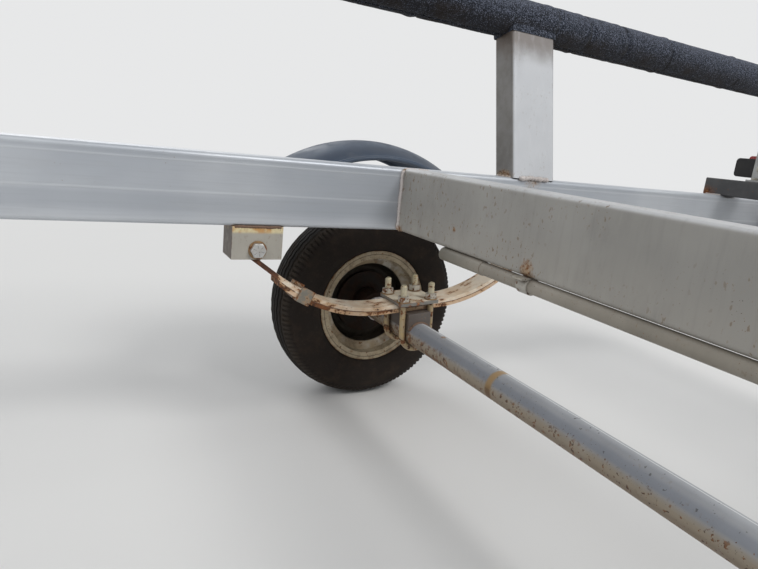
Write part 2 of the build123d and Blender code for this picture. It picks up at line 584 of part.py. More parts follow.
# Wheels: each profile is drawn as (across, radius), with across positive away from the trailer
for side, s in SIDES:
    spin = Axis((AXLE_X, s * WHEEL_Y, AXLE_Z), (0, s, 0))
    section = Plane(origin=(AXLE_X, s * WHEEL_Y, AXLE_Z), x_dir=(0, s, 0), z_dir=(s, 0, 0))
    half = RIM_WIDTH / 2
    bead_under, drop_under = BEAD_RADIUS - RIM_WALL, DROP_RADIUS - RIM_WALL
    skew = RIM_WALL / 2  # shifts the under side's corners so that the slopes keep the wall
    with BuildPart() as rim:
        with BuildSketch(section):
            with BuildLine():
                Polyline((-half, RIM_FLANGE_RADIUS), (-half + RIM_WALL, RIM_FLANGE_RADIUS),
                         (-half + RIM_WALL, BEAD_RADIUS), (WELL_FROM - WELL_SLOPE, BEAD_RADIUS),
                         (WELL_FROM, DROP_RADIUS), (WELL_TO, DROP_RADIUS),
                         (WELL_TO + WELL_SLOPE, BEAD_RADIUS), (half - RIM_WALL, BEAD_RADIUS),
                         (half - RIM_WALL, RIM_FLANGE_RADIUS), (half, RIM_FLANGE_RADIUS), (half, bead_under),
                         (WELL_TO + WELL_SLOPE + skew, bead_under), (WELL_TO + skew, drop_under),
                         (DISC_THICKNESS + DISC_DISH, drop_under), (DISC_THICKNESS, DISC_RADIUS),
                         (DISC_THICKNESS, DISC_BORE_RADIUS), (0, DISC_BORE_RADIUS), (0, DISC_RADIUS),
                         (DISC_DISH, drop_under), (WELL_FROM - skew, drop_under),
                         (WELL_FROM - WELL_SLOPE - skew, bead_under), (-half, bead_under), close=True)
            make_face()
        revolve(axis=spin)
        with BuildSketch(Plane(origin=(AXLE_X, s * WHEEL_Y, AXLE_Z), x_dir=(1, 0, 0), z_dir=(0, s, 0))):
            with PolarLocations(STUD_CIRCLE_RADIUS, STUD_COUNT, start_angle=45):
                Circle(STUD_RADIUS + STUD_HOLE_CLEARANCE)
        extrude(amount=DISC_THICKNESS, mode=Mode.SUBTRACT)
    save(rim, f"rim_{side}")

    seat_y, shoulder = half - RIM_WALL - SOFT_GAP, TYRE_RADIUS - TREAD_CROWN
    inner_edge, heel = TREAD_HALF_WIDTH - 0.75 * TYRE_WALL, RIM_FLANGE_RADIUS + BEAD_HEEL_RISE
    bead_foot = BEAD_RADIUS + SOFT_GAP
    with BuildPart() as tyre:
        with BuildSketch(section):
            with BuildLine():
                inner_bead = Line((-seat_y + BEAD_FOOT, bead_foot), (-seat_y, bead_foot))
                Line((-seat_y, bead_foot), (-seat_y, RIM_FLANGE_RADIUS))
                ThreePointArc((-seat_y, RIM_FLANGE_RADIUS), (-TYRE_WIDTH / 2, WIDEST_RADIUS),
                              (-TREAD_HALF_WIDTH, shoulder))
                ThreePointArc((-TREAD_HALF_WIDTH, shoulder), (0, TYRE_RADIUS),
                              (TREAD_HALF_WIDTH, shoulder))
                ThreePointArc((TREAD_HALF_WIDTH, shoulder), (TYRE_WIDTH / 2, WIDEST_RADIUS),
                              (seat_y, RIM_FLANGE_RADIUS))
                Line((seat_y, RIM_FLANGE_RADIUS), (seat_y, bead_foot))
                Line((seat_y, bead_foot), (seat_y - BEAD_FOOT, bead_foot))
                Line((seat_y - BEAD_FOOT, bead_foot), (seat_y - BEAD_HEEL, heel))
                ThreePointArc((seat_y - BEAD_HEEL, heel), (TYRE_WIDTH / 2 - TYRE_WALL, WIDEST_RADIUS),
                              (inner_edge, shoulder - TYRE_WALL))
                ThreePointArc((inner_edge, shoulder - TYRE_WALL),
                              (0, TYRE_RADIUS - TYRE_WALL - CROWN_EXTRA),
                              (-inner_edge, shoulder - TYRE_WALL))
                ThreePointArc((-inner_edge, shoulder - TYRE_WALL),
                              (-TYRE_WIDTH / 2 + TYRE_WALL, WIDEST_RADIUS), (-seat_y + BEAD_HEEL, heel))
                Line((-seat_y + BEAD_HEEL, heel), inner_bead @ 0)
            make_face()
        revolve(axis=spin)
    save(tyre, f"tyre_{side}")

    # The hub's barrel tapers outwards and ends in a domed grease cap, hollow ahead of the bore
    bore, flange = SPINDLE_RADIUS + HUB_BORE_CLEARANCE, HUB_FLANGE_THICKNESS
    with BuildPart() as hub:
        with BuildSketch(section):
            with BuildLine():
                Polyline((-HUB_INNER, bore), (-HUB_INNER, HUB_BARREL_RADIUS), (-flange, HUB_BARREL_RADIUS),
                         (-flange, HUB_FLANGE_RADIUS), (0, HUB_FLANGE_RADIUS), (0, HUB_BARREL_RADIUS),
                         *HUB_CAP, (HUB_CAP_FROM, bore), close=True)
            make_face()
        revolve(axis=spin)
        with BuildSketch(Plane(origin=(AXLE_X, s * WHEEL_Y, AXLE_Z), x_dir=(1, 0, 0), z_dir=(0, s, 0))):
            with PolarLocations(STUD_CIRCLE_RADIUS, STUD_COUNT, start_angle=45):
                Circle(STUD_RADIUS)
        extrude(amount=STUD_LENGTH)
        for k in range(STUD_COUNT):
            turn = radians(45 + k * 360 / STUD_COUNT)
            nut = (AXLE_X + STUD_CIRCLE_RADIUS * cos(turn), s * (WHEEL_Y + DISC_THICKNESS),
                   AXLE_Z + STUD_CIRCLE_RADIUS * sin(turn))
            add(hexagon(facing(nut, (0, s, 0), (1, 0, 0)), WHEEL_NUT_SIZE, WHEEL_NUT_HEIGHT))
    save(hub, f"hub_{side}")

# Fenders: one crowned section with rolled lips, swept round an axis just ahead of the wheel
fender_x = AXLE_X + FENDER_CENTRE_AHEAD
half_fender = FENDER_WIDTH / 2 - FENDER_LIP_RADIUS
lip_centre = FENDER_RADIUS - FENDER_DROP
lip_inside = lip_centre - FENDER_LIP_RADIUS - SOFT_GAP
stay_radius = sqrt(lip_inside**2 - (FENDER_STAY_WIDTH / 2) ** 2) - FENDER_STAY_THICKNESS / 2
for side, s in SIDES:
    turn = Axis((fender_x, s * WHEEL_Y, AXLE_Z), (0, 1, 0))
    lean = radians(FENDER_HALF_ANGLE)
    start = Plane(origin=(fender_x, s * WHEEL_Y, AXLE_Z), x_dir=(0, 1, 0), z_dir=(cos(lean), 0, sin(lean)))
    with BuildPart() as fender:
        with BuildSketch(start):
            with BuildLine():
                ThreePointArc((-half_fender, lip_centre), (0, FENDER_RADIUS), (half_fender, lip_centre))
                Line((half_fender, lip_centre), (half_fender - FENDER_SHEET, lip_centre))
                ThreePointArc((half_fender - FENDER_SHEET, lip_centre), (0, FENDER_RADIUS - FENDER_SHEET),
                              (-half_fender + FENDER_SHEET, lip_centre))
                Line((-half_fender + FENDER_SHEET, lip_centre), (-half_fender, lip_centre))
            make_face()
            with Locations((-half_fender, lip_centre), (half_fender, lip_centre)):
                Circle(FENDER_LIP_RADIUS)
        revolve(axis=turn, revolution_arc=2 * FENDER_HALF_ANGLE)
    save(fender, f"fender_{side}")

# Flat stays from the rail's outer face, under both lips of the fender
with BuildPart() as stays:
    for side, s in SIDES:
        for angle in (-FENDER_STAY_ANGLE, FENDER_STAY_ANGLE):
            a = radians(angle)
            root = (fender_x + stay_radius * sin(a), s * RAIL_OUTER_Y, AXLE_Z + stay_radius * cos(a))
            with BuildSketch(facing(root, (0, s, 0), (cos(a), 0, -sin(a)))):
                Rectangle(FENDER_STAY_WIDTH, FENDER_STAY_THICKNESS)
            extrude(amount=WHEEL_OFFSET + half_fender)
save(stays, "fender_stays")

# Bunks: a round tube each side on two flared posts, wrapped in a carpet sleeve
flare = radians(POST_FLARE)
bunk_y = RAIL_Y + BUNK_RISE * tan(flare)
bunk_z = RAIL_TOP + BUNK_RISE
bunk_rear_x = AXLE_X - BUNK_REAR_BEHIND_AXLE
bunk_length = BUNK_REAR_BEHIND_AXLE + BUNK_FRONT_AHEAD_AXLE
POSTS = (("rear", AXLE_X - POST_REAR_BEHIND_AXLE), ("front", AXLE_X + POST_FRONT_AHEAD_AXLE))
for side, s in SIDES:
    lean_out = (0, s * sin(flare), cos(flare))
    bunk_end = facing((bunk_rear_x, s * bunk_y, bunk_z), (1, 0, 0), (0, 1, 0))
    for place, post_x in POSTS:
        sunk = RAIL_WIDTH
        foot = (post_x, s * (RAIL_Y - sunk * sin(flare)), RAIL_TOP - sunk * cos(flare))
        with BuildPart() as post:
            with BuildSketch(facing(foot, lean_out, (1, 0, 0))):
                box_section(RAIL_HEIGHT, RAIL_WIDTH)
            extrude(amount=sunk + BUNK_RISE / cos(flare) - BUNK_TUBE_RADIUS / 3)
            split(bisect_by=Plane.XY.offset(RAIL_TOP), keep=Keep.TOP)
            with BuildSketch(bunk_end):
                Circle(BUNK_TUBE_RADIUS)
            extrude(amount=bunk_length, mode=Mode.SUBTRACT)
        save(post, f"bunk_post_{place}_{side}")
    with BuildPart() as bunk_tube:
        with BuildSketch(bunk_end):
            Circle(BUNK_TUBE_RADIUS)
            Circle(BUNK_TUBE_RADIUS - BUNK_TUBE_WALL, mode=Mode.SUBTRACT)
        extrude(amount=bunk_length)
    save(bunk_tube, f"bunk_tube_{side}")
    with BuildPart() as carpet:
        with BuildSketch(bunk_end):
            Circle(BUNK_CARPET_RADIUS)
            Circle(BUNK_TUBE_RADIUS + SOFT_GAP, mode=Mode.SUBTRACT)
        extrude(amount=bunk_length)
        for place, post_x in POSTS:
            with BuildSketch(facing((post_x, s * bunk_y, bunk_z), tuple(-d for d in lean_out), (1, 0, 0))):
                Rectangle(RAIL_HEIGHT + 2 * SOFT_GAP, RAIL_WIDTH + 2 * SOFT_GAP)
            extrude(amount=2 * BUNK_CARPET_RADIUS, mode=Mode.SUBTRACT)
    save(carpet, f"bunk_carpet_{side}")

# Conduit under the axle member; each strap is a band with a tab behind and a short lip in front
conduit_x = AXLE_X + AXLE_MEMBER_GAP + RAIL_WIDTH - CONDUIT_SETBACK
conduit_z = RAIL_BOTTOM - CONDUIT_DROP - CONDUIT_RADIUS
with BuildPart() as conduit:
    with BuildSketch(facing((conduit_x, -CONDUIT_REACH, conduit_z), (0, 1, 0), (1, 0, 0))):
        Circle(CONDUIT_RADIUS)
    extrude(amount=2 * CONDUIT_REACH)
    for start in (-CONDUIT_REACH, SLEEVE_FROM):
        with BuildSketch(facing((conduit_x, start, conduit_z), (0, 1, 0), (1, 0, 0))):
            Circle(CONDUIT_RADIUS + SLEEVE_WALL)
        extrude(amount=CONDUIT_REACH - SLEEVE_FROM)
    with BuildSketch(facing((conduit_x, -CONDUIT_REACH, conduit_z), (0, 1, 0), (1, 0, 0))):
        Circle(CONDUIT_RADIUS - CONDUIT_WALL)
    extrude(amount=2 * CONDUIT_REACH, mode=Mode.SUBTRACT)
save(conduit, "conduit")
band = CONDUIT_RADIUS + STRAP_THICKNESS
tab_mid = CONDUIT_RADIUS + CONDUIT_DROP - STRAP_THICKNESS / 2
with BuildPart() as straps:
    for at in (-STRAP_AT, STRAP_AT):
        with BuildSketch(facing((conduit_x, at - STRAP_WIDTH / 2, conduit_z), (0, 1, 0), (-1, 0, 0))):
            Circle(band)
            with Locations((CONDUIT_RADIUS + STRAP_TAB / 2 - STRAP_THICKNESS, tab_mid)):
                Rectangle(STRAP_TAB, STRAP_THICKNESS)
            with Locations((-(CONDUIT_RADIUS / 2 + band + STRAP_LIP) / 2, tab_mid)):
                Rectangle(band + STRAP_LIP - CONDUIT_RADIUS / 2, STRAP_THICKNESS)
            Circle(CONDUIT_RADIUS + SLIP_GAP, mode=Mode.SUBTRACT)
            with Locations((0, tab_mid + (STRAP_THICKNESS + band) / 2)):
                Rectangle(2 * band, band, mode=Mode.SUBTRACT)
        extrude(amount=STRAP_WIDTH)
save(straps, "conduit_straps")

# Tail lamps: a bracket on the light bar, a housing behind it and a lens that stands above the housing
bar_top = RAIL_TOP + LIGHT_BAR_HEIGHT
lamp_z = bar_top + LAMP_ABOVE_BAR + LAMP_HEIGHT / 2
bracket_x = light_bar_x - BRACKET_OVERHANG
lamp_mid = RAIL_OUTER_Y - LAMP_FROM_SIDE - LAMP_WIDTH / 2
with BuildPart() as brackets:
    for side, s in SIDES:
        with BuildSketch(facing((bracket_x, s * lamp_mid, bar_top), (1, 0, 0), (0, 1, 0))):
            with Locations((0, BRACKET_HEIGHT / 2)):
                Rectangle(BRACKET_WIDTH, BRACKET_HEIGHT)
            with Locations((0, BRACKET_HEIGHT - 2 * BRACKET_HOLE_RADIUS)):
                Circle(BRACKET_HOLE_RADIUS, mode=Mode.SUBTRACT)
        extrude(amount=BRACKET_THICKNESS)
        with BuildSketch(Plane.XY.offset(bar_top)):
            with Locations((bracket_x + BRACKET_FOOT / 2, s * lamp_mid)):
                Rectangle(BRACKET_FOOT, BRACKET_WIDTH)
        extrude(amount=BRACKET_THICKNESS)
save(brackets, "lamp_brackets")
with BuildPart() as lamps:
    for side, s in SIDES:
        with BuildSketch(facing((bracket_x, s * lamp_mid, lamp_z), (-1, 0, 0), (0, 1, 0))):
            RectangleRounded(LAMP_WIDTH, LAMP_HEIGHT, LAMP_CORNER)
        extrude(amount=LAMP_DEPTH)
save(lamps, "tail_lamps")
with BuildPart() as lenses:
    for side, s in SIDES:
        with BuildSketch(facing((bracket_x - LAMP_DEPTH, s * lamp_mid, lamp_z + LENS_RISE / 2),
                                (-1, 0, 0), (0, 1, 0))):
            RectangleRounded(LAMP_WIDTH - 2 * LENS_INSET, LAMP_HEIGHT + LENS_RISE, LENS_CORNER)
        extrude(amount=LENS_DEPTH)
    fillet(lenses.faces().filter_by(Axis.X).group_by(Axis.X)[0].edges(), radius=LENS_ROUNDING)
save(lenses, "tail_lenses")

# Keel roller on the rear member: a forked bracket with its pin, and the rubber roller
roller_x = TAIL_X + REAR_MEMBER_INSET + RAIL_WIDTH / 2
roller_z = RAIL_TOP + ROLLER_RISE
cheek_y = ROLLER_LENGTH / 2 + ROLLER_SIDE_GAP
with BuildPart() as roller_bracket:
    for s in (-1, 1):
        with BuildSketch(facing((roller_x, s * cheek_y, RAIL_TOP), (0, s, 0), (-s, 0, 0))):
            with BuildLine():
                Polyline((-CHEEK_FOOT / 2, 0), (CHEEK_FOOT / 2, 0), (CHEEK_HEAD_RADIUS, ROLLER_RISE),
                         (-CHEEK_HEAD_RADIUS, ROLLER_RISE), close=True)
            make_face()
            with Locations((0, ROLLER_RISE)):
                Circle(CHEEK_HEAD_RADIUS)
        extrude(amount=CHEEK_THICKNESS)
    with BuildSketch(facing((roller_x, -cheek_y - ROLLER_PIN_END, roller_z), (0, 1, 0), (1, 0, 0))):
        Circle(ROLLER_PIN_RADIUS)
    extrude(amount=2 * (cheek_y + ROLLER_PIN_END))
save(roller_bracket, "keel_roller_bracket")
end, land, hole = ROLLER_LENGTH / 2, ROLLER_LENGTH / 2 - ROLLER_LAND, ROLLER_PIN_RADIUS + ROLLER_CLEARANCE
with BuildPart() as roller:
    with BuildSketch(Plane(origin=(roller_x, 0, roller_z), x_dir=(0, 1, 0), z_dir=(1, 0, 0))):
        with BuildLine():
            Polyline((-end, hole), (-end, ROLLER_RADIUS), (-land, ROLLER_RADIUS))
            ThreePointArc((-land, ROLLER_RADIUS), (0, ROLLER_WAIST), (land, ROLLER_RADIUS))
            Polyline((land, ROLLER_RADIUS), (end, ROLLER_RADIUS), (end, hole), (-end, hole))
        make_face()
    revolve(axis=Axis((roller_x, 0, roller_z), (0, 1, 0)))
save(roller, "keel_roller")

# Coupler: a pressed cover over the tongue's end, tapering to the ball socket
cover_top = RAIL_TOP + COUPLER_GAP + COUPLER_WALL
cover_bottom = cover_top - COUPLER_DEPTH
cover_half = TONGUE_WIDTH / 2 + COUPLER_GAP + COUPLER_WALL
socket_outer = BALL_RADIUS + BALL_COVER
socket_x = NOSE_X - socket_outer
ball_z = cover_top - COUPLER_WALL - BALL_RADIUS - CUP_CROWN
rear_edge = NOSE_X - COUPLER_LENGTH
with BuildPart() as coupler:
    # Plan of the cover: a straight channel, a taper and a round nose, first solid and then hollowed
    for inset, depth, mode in ((0, COUPLER_DEPTH, Mode.ADD),
                               (COUPLER_WALL, COUPLER_DEPTH - COUPLER_WALL, Mode.SUBTRACT)):
        side_y, nose_r = cover_half - inset, socket_outer - inset
        shoulder_x = TONGUE_FRONT_X + COUPLER_STRAIGHT
        with BuildSketch(Plane.XY.offset(cover_bottom)):
            with BuildLine():
                Polyline((socket_x, nose_r), (shoulder_x, side_y), (rear_edge, side_y),
                         (rear_edge, -side_y), (shoulder_x, -side_y), (socket_x, -nose_r))
                ThreePointArc((socket_x, -nose_r), (socket_x + nose_r, 0), (socket_x, nose_r))
            make_face()
        extrude(amount=depth, mode=mode)
    with BuildSketch(Plane(origin=(rear_edge, 0, 0), x_dir=(0, 1, 0), z_dir=(1, 0, 0))):
        with Locations((0, cover_bottom + (COUPLER_DEPTH - COUPLER_WALL) / 2)):
            Rectangle(TONGUE_WIDTH + 2 * COUPLER_GAP, COUPLER_DEPTH - COUPLER_WALL)
    extrude(amount=COUPLER_WALL, mode=Mode.SUBTRACT)
save(coupler, "coupler")

# Socket cup inside the nose: half a sphere over a short cylinder, open below
cup_radius = socket_outer - COUPLER_WALL - SLIP_GAP
cup_foot, cup_top = ball_z - CUP_SKIRT, cover_top - COUPLER_WALL
with BuildPart() as cup:
    with BuildSketch(Plane(origin=(socket_x, 0, 0), x_dir=(1, 0, 0), z_dir=(0, -1, 0))):
        with BuildLine():
            Polyline((BALL_RADIUS, ball_z), (BALL_RADIUS, cup_foot), (cup_radius, cup_foot),
                     (cup_radius, cup_top), (0, cup_top), (0, ball_z + BALL_RADIUS))
            CenterArc((0, ball_z), BALL_RADIUS, 0, 90)
        make_face()
    revolve(axis=Axis((socket_x, 0, 0), (0, 0, 1)))
save(cup, "coupler_socket")

# Latch: a lever over the socket, its handle rising to the rear
latch_end = socket_x + BALL_COVER - LATCH_LENGTH
latch_heel = latch_end + LATCH_LENGTH / 2
with BuildPart() as latch:
    with BuildSketch(Plane(origin=(0, LATCH_WIDTH / 2, cover_top), x_dir=(1, 0, 0), z_dir=(0, -1, 0))):
        with BuildLine():
            Polyline((latch_heel, 0), (latch_end + LATCH_LENGTH, 0),
                     (latch_end + LATCH_LENGTH, LATCH_HEIGHT / 3),
                     (latch_heel + LATCH_WIDTH, 0.65 * LATCH_HEIGHT), (latch_end, LATCH_HEIGHT),
                     (latch_end, 0.75 * LATCH_HEIGHT), (latch_heel, LATCH_HEIGHT / 2), close=True)
        make_face()
    extrude(amount=LATCH_WIDTH)
save(latch, "coupler_latch")

# Winch post on the tongue, with the winch on its table and the bow stop behind
post_x = NOSE_X - WINCH_POST_FROM_NOSE
post_top = RAIL_TOP + WINCH_POST_HEIGHT
table_x = post_x - WINCH_TABLE_BACK
with BuildPart() as winch_post:
    with BuildSketch(Plane.XY.offset(RAIL_TOP)):
        with Locations((post_x, 0)):
            Rectangle(WINCH_BASE_LENGTH, TONGUE_WIDTH)
    extrude(amount=WINCH_PLATE)
    with BuildSketch(Plane.XY.offset(RAIL_TOP + WINCH_PLATE)):
        with Locations((post_x, 0)):
            box_section(WINCH_POST_TUBE, WINCH_POST_TUBE)
    extrude(amount=WINCH_POST_HEIGHT - 2 * WINCH_PLATE)
    with BuildSketch(Plane.XY.offset(post_top - WINCH_PLATE)):
        with Locations((table_x, 0)):
            RectangleRounded(WINCH_TABLE_LENGTH, WINCH_TABLE_WIDTH, WINCH_PLATE)
    extrude(amount=WINCH_PLATE)
save(winch_post, "winch_post")

spool_x, spool_z = table_x + SPOOL_FORWARD, post_top + SPOOL_HEIGHT
with BuildPart() as winch_frame:
    with BuildSketch(facing((spool_x - WINCH_FRAME_LENGTH / 2, 0, post_top), (1, 0, 0), (0, 1, 0))):
        with Locations((0, WINCH_FRAME_HEIGHT / 2)):
            Rectangle(WINCH_FRAME_INSIDE + 2 * WINCH_FRAME_SHEET, WINCH_FRAME_HEIGHT)
        with Locations((0, WINCH_FRAME_FLOOR + WINCH_FRAME_HEIGHT / 2)):
            Rectangle(WINCH_FRAME_INSIDE, WINCH_FRAME_HEIGHT, mode=Mode.SUBTRACT)
    extrude(amount=WINCH_FRAME_LENGTH)
    with BuildSketch(facing((spool_x, -SPOOL_WIDTH, spool_z), (0, 1, 0), (1, 0, 0))):
        Circle(WINCH_SHAFT_RADIUS + SLIP_GAP)
    extrude(amount=2 * SPOOL_WIDTH, mode=Mode.SUBTRACT)
save(winch_frame, "winch_frame")
drum_half = SPOOL_WIDTH / 2 - DRUM_SIDE_GAP
shaft_length = 2 * WINCH_SHAFT_END + CRANK_THICKNESS
with BuildPart() as winch_spool:
    for start, radius, width in ((-WINCH_SHAFT_END, WINCH_SHAFT_RADIUS, shaft_length),
                                 (-drum_half, SPOOL_DISC_RADIUS, SPOOL_DISC),
                                 (-drum_half, SPOOL_DRUM_RADIUS, 2 * drum_half),
                                 (drum_half - SPOOL_DISC, SPOOL_DISC_RADIUS, SPOOL_DISC)):
        with BuildSketch(facing((spool_x, start, spool_z), (0, 1, 0), (1, 0, 0))):
            Circle(radius)
        extrude(amount=width)
save(winch_spool, "winch_spool")

# Winch crank: a flat arm on the shaft's left end, hanging down, with its grip outwards
with BuildPart() as winch_crank:
    with BuildSketch(facing((spool_x, WINCH_SHAFT_END + SLIP_GAP, spool_z), (0, 1, 0), (1, 0, 0))):
        with Locations((0, CRANK_LENGTH / 2)):
            SlotCenterToCenter(CRANK_LENGTH, CRANK_WIDTH, rotation=90)
        Circle(WINCH_SHAFT_RADIUS + SLIP_GAP, mode=Mode.SUBTRACT)
    extrude(amount=CRANK_THICKNESS)
    grip_root = (spool_x, WINCH_SHAFT_END + SLIP_GAP + CRANK_THICKNESS, spool_z - CRANK_LENGTH)
    with BuildSketch(facing(grip_root, (0, 1, 0), (1, 0, 0))):
        Circle(GRIP_RADIUS)
    extrude(amount=GRIP_LENGTH)
save(winch_crank, "winch_crank")

# Bow stop: a vee block of rubber between two arms on the post
stop_z = post_top - BOW_STOP_DROP
with BuildPart() as bow_stop_bracket:
    for s in (-1, 1):
        with BuildSketch(facing((0, s * WINCH_POST_TUBE / 2, 0), (0, s, 0), (-s, 0, 0))):
            with Locations((-s * (post_x - STOP_ARM_BACK), stop_z)):
                RectangleRounded(STOP_ARM_LENGTH, STOP_ARM_DEPTH, STOP_ARM_THICKNESS)
        extrude(amount=STOP_ARM_THICKNESS)
save(bow_stop_bracket, "bow_stop_bracket")
stop_half = WINCH_POST_TUBE / 2 - SOFT_GAP
vee = post_x - STOP_ARM_BACK - STOP_ARM_LENGTH / 2 - BOW_STOP_BEHIND
with BuildPart() as bow_stop:
    with BuildSketch(Plane.XY.offset(stop_z - BOW_STOP_HEIGHT / 2)):
        with BuildLine():
            Polyline((vee + BOW_STOP_LENGTH, -stop_half), (vee + BOW_STOP_LENGTH, stop_half),
                     (vee - BOW_STOP_NOTCH, stop_half), (vee, 0), (vee - BOW_STOP_NOTCH, -stop_half),
                     close=True)
        make_face()
    extrude(amount=BOW_STOP_HEIGHT)
save(bow_stop, "bow_stop")

# Jack: plates clamped on the tongue carry a pivot; the tube swings on it and the leg slides
jack_x = NOSE_X - JACK_FROM_NOSE
jack_y = TONGUE_WIDTH / 2 + JACK_AXIS_OFFSET
plate_face = TONGUE_WIDTH / 2 + JACK_PLATE_THICKNESS
tube_side = jack_y - JACK_TUBE_RADIUS
with BuildPart() as jack_mount:
    for s in (-1, 1):
        with BuildSketch(facing((jack_x, s * TONGUE_WIDTH / 2, RAIL_MID_Z), (0, s, 0), (-s, 0, 0))):
            RectangleRounded(JACK_PLATE_SIZE, RAIL_HEIGHT + 2 * JACK_PLATE_OVERLAP, JACK_PLATE_THICKNESS)
        extrude(amount=JACK_PLATE_THICKNESS)
    with BuildSketch(facing((jack_x, -plate_face - CLAMP_BOLT_END, RAIL_MID_Z), (0, 1, 0), (-1, 0, 0))):
        with GridLocations(JACK_PLATE_SIZE - 2 * CLAMP_BOLT_INSET, RAIL_HEIGHT + 2 * CLAMP_BOLT_RISE, 2, 2):
            Circle(CLAMP_BOLT_RADIUS)
    extrude(amount=2 * (plate_face + CLAMP_BOLT_END))
    with BuildSketch(facing((jack_x, plate_face, RAIL_MID_Z), (0, 1, 0), (-1, 0, 0))):
        Circle(PIVOT_RADIUS)
    extrude(amount=tube_side - SOFT_GAP - plate_face)
save(jack_mount, "jack_mount")

tube_bottom = RAIL_MID_Z - JACK_TUBE_BELOW
tube_top = RAIL_MID_Z + JACK_TUBE_ABOVE
jack_foot_plane = Plane(origin=(jack_x, jack_y, tube_bottom))
collar_face = plate_face + PIVOT_SIDE_GAP
with BuildPart() as jack_tube:
    with BuildSketch(jack_foot_plane):
        Circle(JACK_TUBE_RADIUS)
    extrude(amount=tube_top - tube_bottom)
    with BuildSketch(facing((jack_x, collar_face, RAIL_MID_Z), (0, 1, 0), (-1, 0, 0))):
        Circle(PIVOT_COLLAR_RADIUS)
    extrude(amount=tube_side + PIVOT_SIDE_GAP - collar_face)
    with BuildSketch(facing((jack_x, plate_face, RAIL_MID_Z), (0, 1, 0), (-1, 0, 0))):
        Circle(PIVOT_RADIUS + PIVOT_CLEARANCE)
    extrude(amount=tube_side - plate_face, mode=Mode.SUBTRACT)
    with BuildSketch(jack_foot_plane):
        Circle(JACK_LEG_RADIUS + JACK_SLIDE_CLEARANCE)
    extrude(amount=tube_top - tube_bottom - JACK_CAP, mode=Mode.SUBTRACT)
save(jack_tube, "jack_tube")

# Jack crank: a screw head in the cap, a flat arm and an upright grip
arm_z = tube_top + JACK_SCREW_HEIGHT - CRANK_THICKNESS
with BuildPart() as jack_crank:
    with BuildSketch(Plane(origin=(jack_x, jack_y, tube_top))):
        Circle(JACK_SCREW_RADIUS)
    extrude(amount=JACK_SCREW_HEIGHT)
    with BuildSketch(Plane(origin=(jack_x, jack_y, arm_z))):
        with Locations((0, CRANK_LENGTH / 2)):
            SlotCenterToCenter(CRANK_LENGTH, CRANK_WIDTH, rotation=90)
    extrude(amount=CRANK_THICKNESS)
    with BuildSketch(Plane(origin=(jack_x, jack_y + CRANK_LENGTH, arm_z + CRANK_THICKNESS))):
        Circle(GRIP_RADIUS)
    extrude(amount=GRIP_LENGTH)
save(jack_crank, "jack_crank")

with BuildPart() as jack_leg:
    with BuildSketch(Plane(origin=(jack_x, jack_y, JACK_FOOT_THICKNESS))):
        Circle(JACK_LEG_RADIUS)
        Circle(JACK_LEG_RADIUS - JACK_LEG_WALL, mode=Mode.SUBTRACT)
    extrude(amount=JACK_LEG_TOP - JACK_FOOT_THICKNESS)
save(jack_leg, "jack_leg")
with BuildPart() as jack_foot:
    with BuildSketch(Plane(origin=(jack_x, jack_y, 0))):
        RectangleRounded(JACK_FOOT_SIZE, JACK_FOOT_SIZE, JACK_FOOT_CORNER)
    extrude(amount=JACK_FOOT_THICKNESS)
save(jack_foot, "jack_foot")
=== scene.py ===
import math
import random

import bpy
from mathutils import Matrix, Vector, noise


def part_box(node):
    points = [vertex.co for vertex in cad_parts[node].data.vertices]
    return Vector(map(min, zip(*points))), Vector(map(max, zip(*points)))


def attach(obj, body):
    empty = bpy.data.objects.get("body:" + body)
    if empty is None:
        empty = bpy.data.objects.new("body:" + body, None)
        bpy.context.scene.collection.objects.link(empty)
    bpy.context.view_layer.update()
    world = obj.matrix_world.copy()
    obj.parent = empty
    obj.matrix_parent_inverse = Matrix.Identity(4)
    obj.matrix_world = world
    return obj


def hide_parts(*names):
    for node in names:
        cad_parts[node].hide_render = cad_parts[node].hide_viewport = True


# Boat trailer parked on its jack. Metres; +X points forward, +Y left, +Z up, the ground is z = 0.
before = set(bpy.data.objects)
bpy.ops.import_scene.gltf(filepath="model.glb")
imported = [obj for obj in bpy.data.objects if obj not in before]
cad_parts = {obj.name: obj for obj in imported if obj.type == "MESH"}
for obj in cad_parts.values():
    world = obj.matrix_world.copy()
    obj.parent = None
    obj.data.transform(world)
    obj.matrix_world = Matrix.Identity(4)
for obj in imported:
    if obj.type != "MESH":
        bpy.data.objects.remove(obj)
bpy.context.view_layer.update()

X, Y, Z = Vector((1, 0, 0)), Vector((0, 1, 0)), Vector((0, 0, 1))
SIDES = (("right", -1), ("left", 1))
AXLE = Vector((-1.225, 0, 0.195))
RAIL_TOP = 0.480
RAIL_UNDER = 0.3784
RAIL_MIDDLE = (RAIL_TOP + RAIL_UNDER) / 2
RAIL_Y = 0.5842  # middle of a side rail
RAIL_INSIDE = 0.5588
TUBE_CORNER = 0.0064  # of the rectangular tubes
WHEEL_Y = 0.7668
FENDER_X = AXLE.x + 0.021
HANGER_FACE = 0.0260  # from a rail's middle to the outside of its spring hangers
NUT_FOOT = 0.06125  # up the clamp, from the axle's middle to the tie plate's top
TONGUE_HALF = 0.0381  # half the tongue's width
MITRE_X, DRAWBAR_FOOT = 0.0250, 0.7497  # where the drawbars meet the rails and the tongue
WINCH_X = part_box("winch_post")[0].x + 0.095  # middle of the winch post
EYE_BOLT = Vector((AXLE.x + 0.295, 0, 0.3434))
KEEPER_BOLT = Vector((AXLE.x - 0.295, 0, 0.3490))
POSTS = (AXLE.x - 0.220, AXLE.x + 0.860)  # x of the bunk posts
BUNK_Y, BUNK_Z, FLARE = 0.65238, 0.764, math.radians(13.5)
# x of the kinks in the carpets
CREASES = (-1.690, -1.585, -1.500, -1.830, -2.080, -1.210, -0.930, -0.610, -0.290)

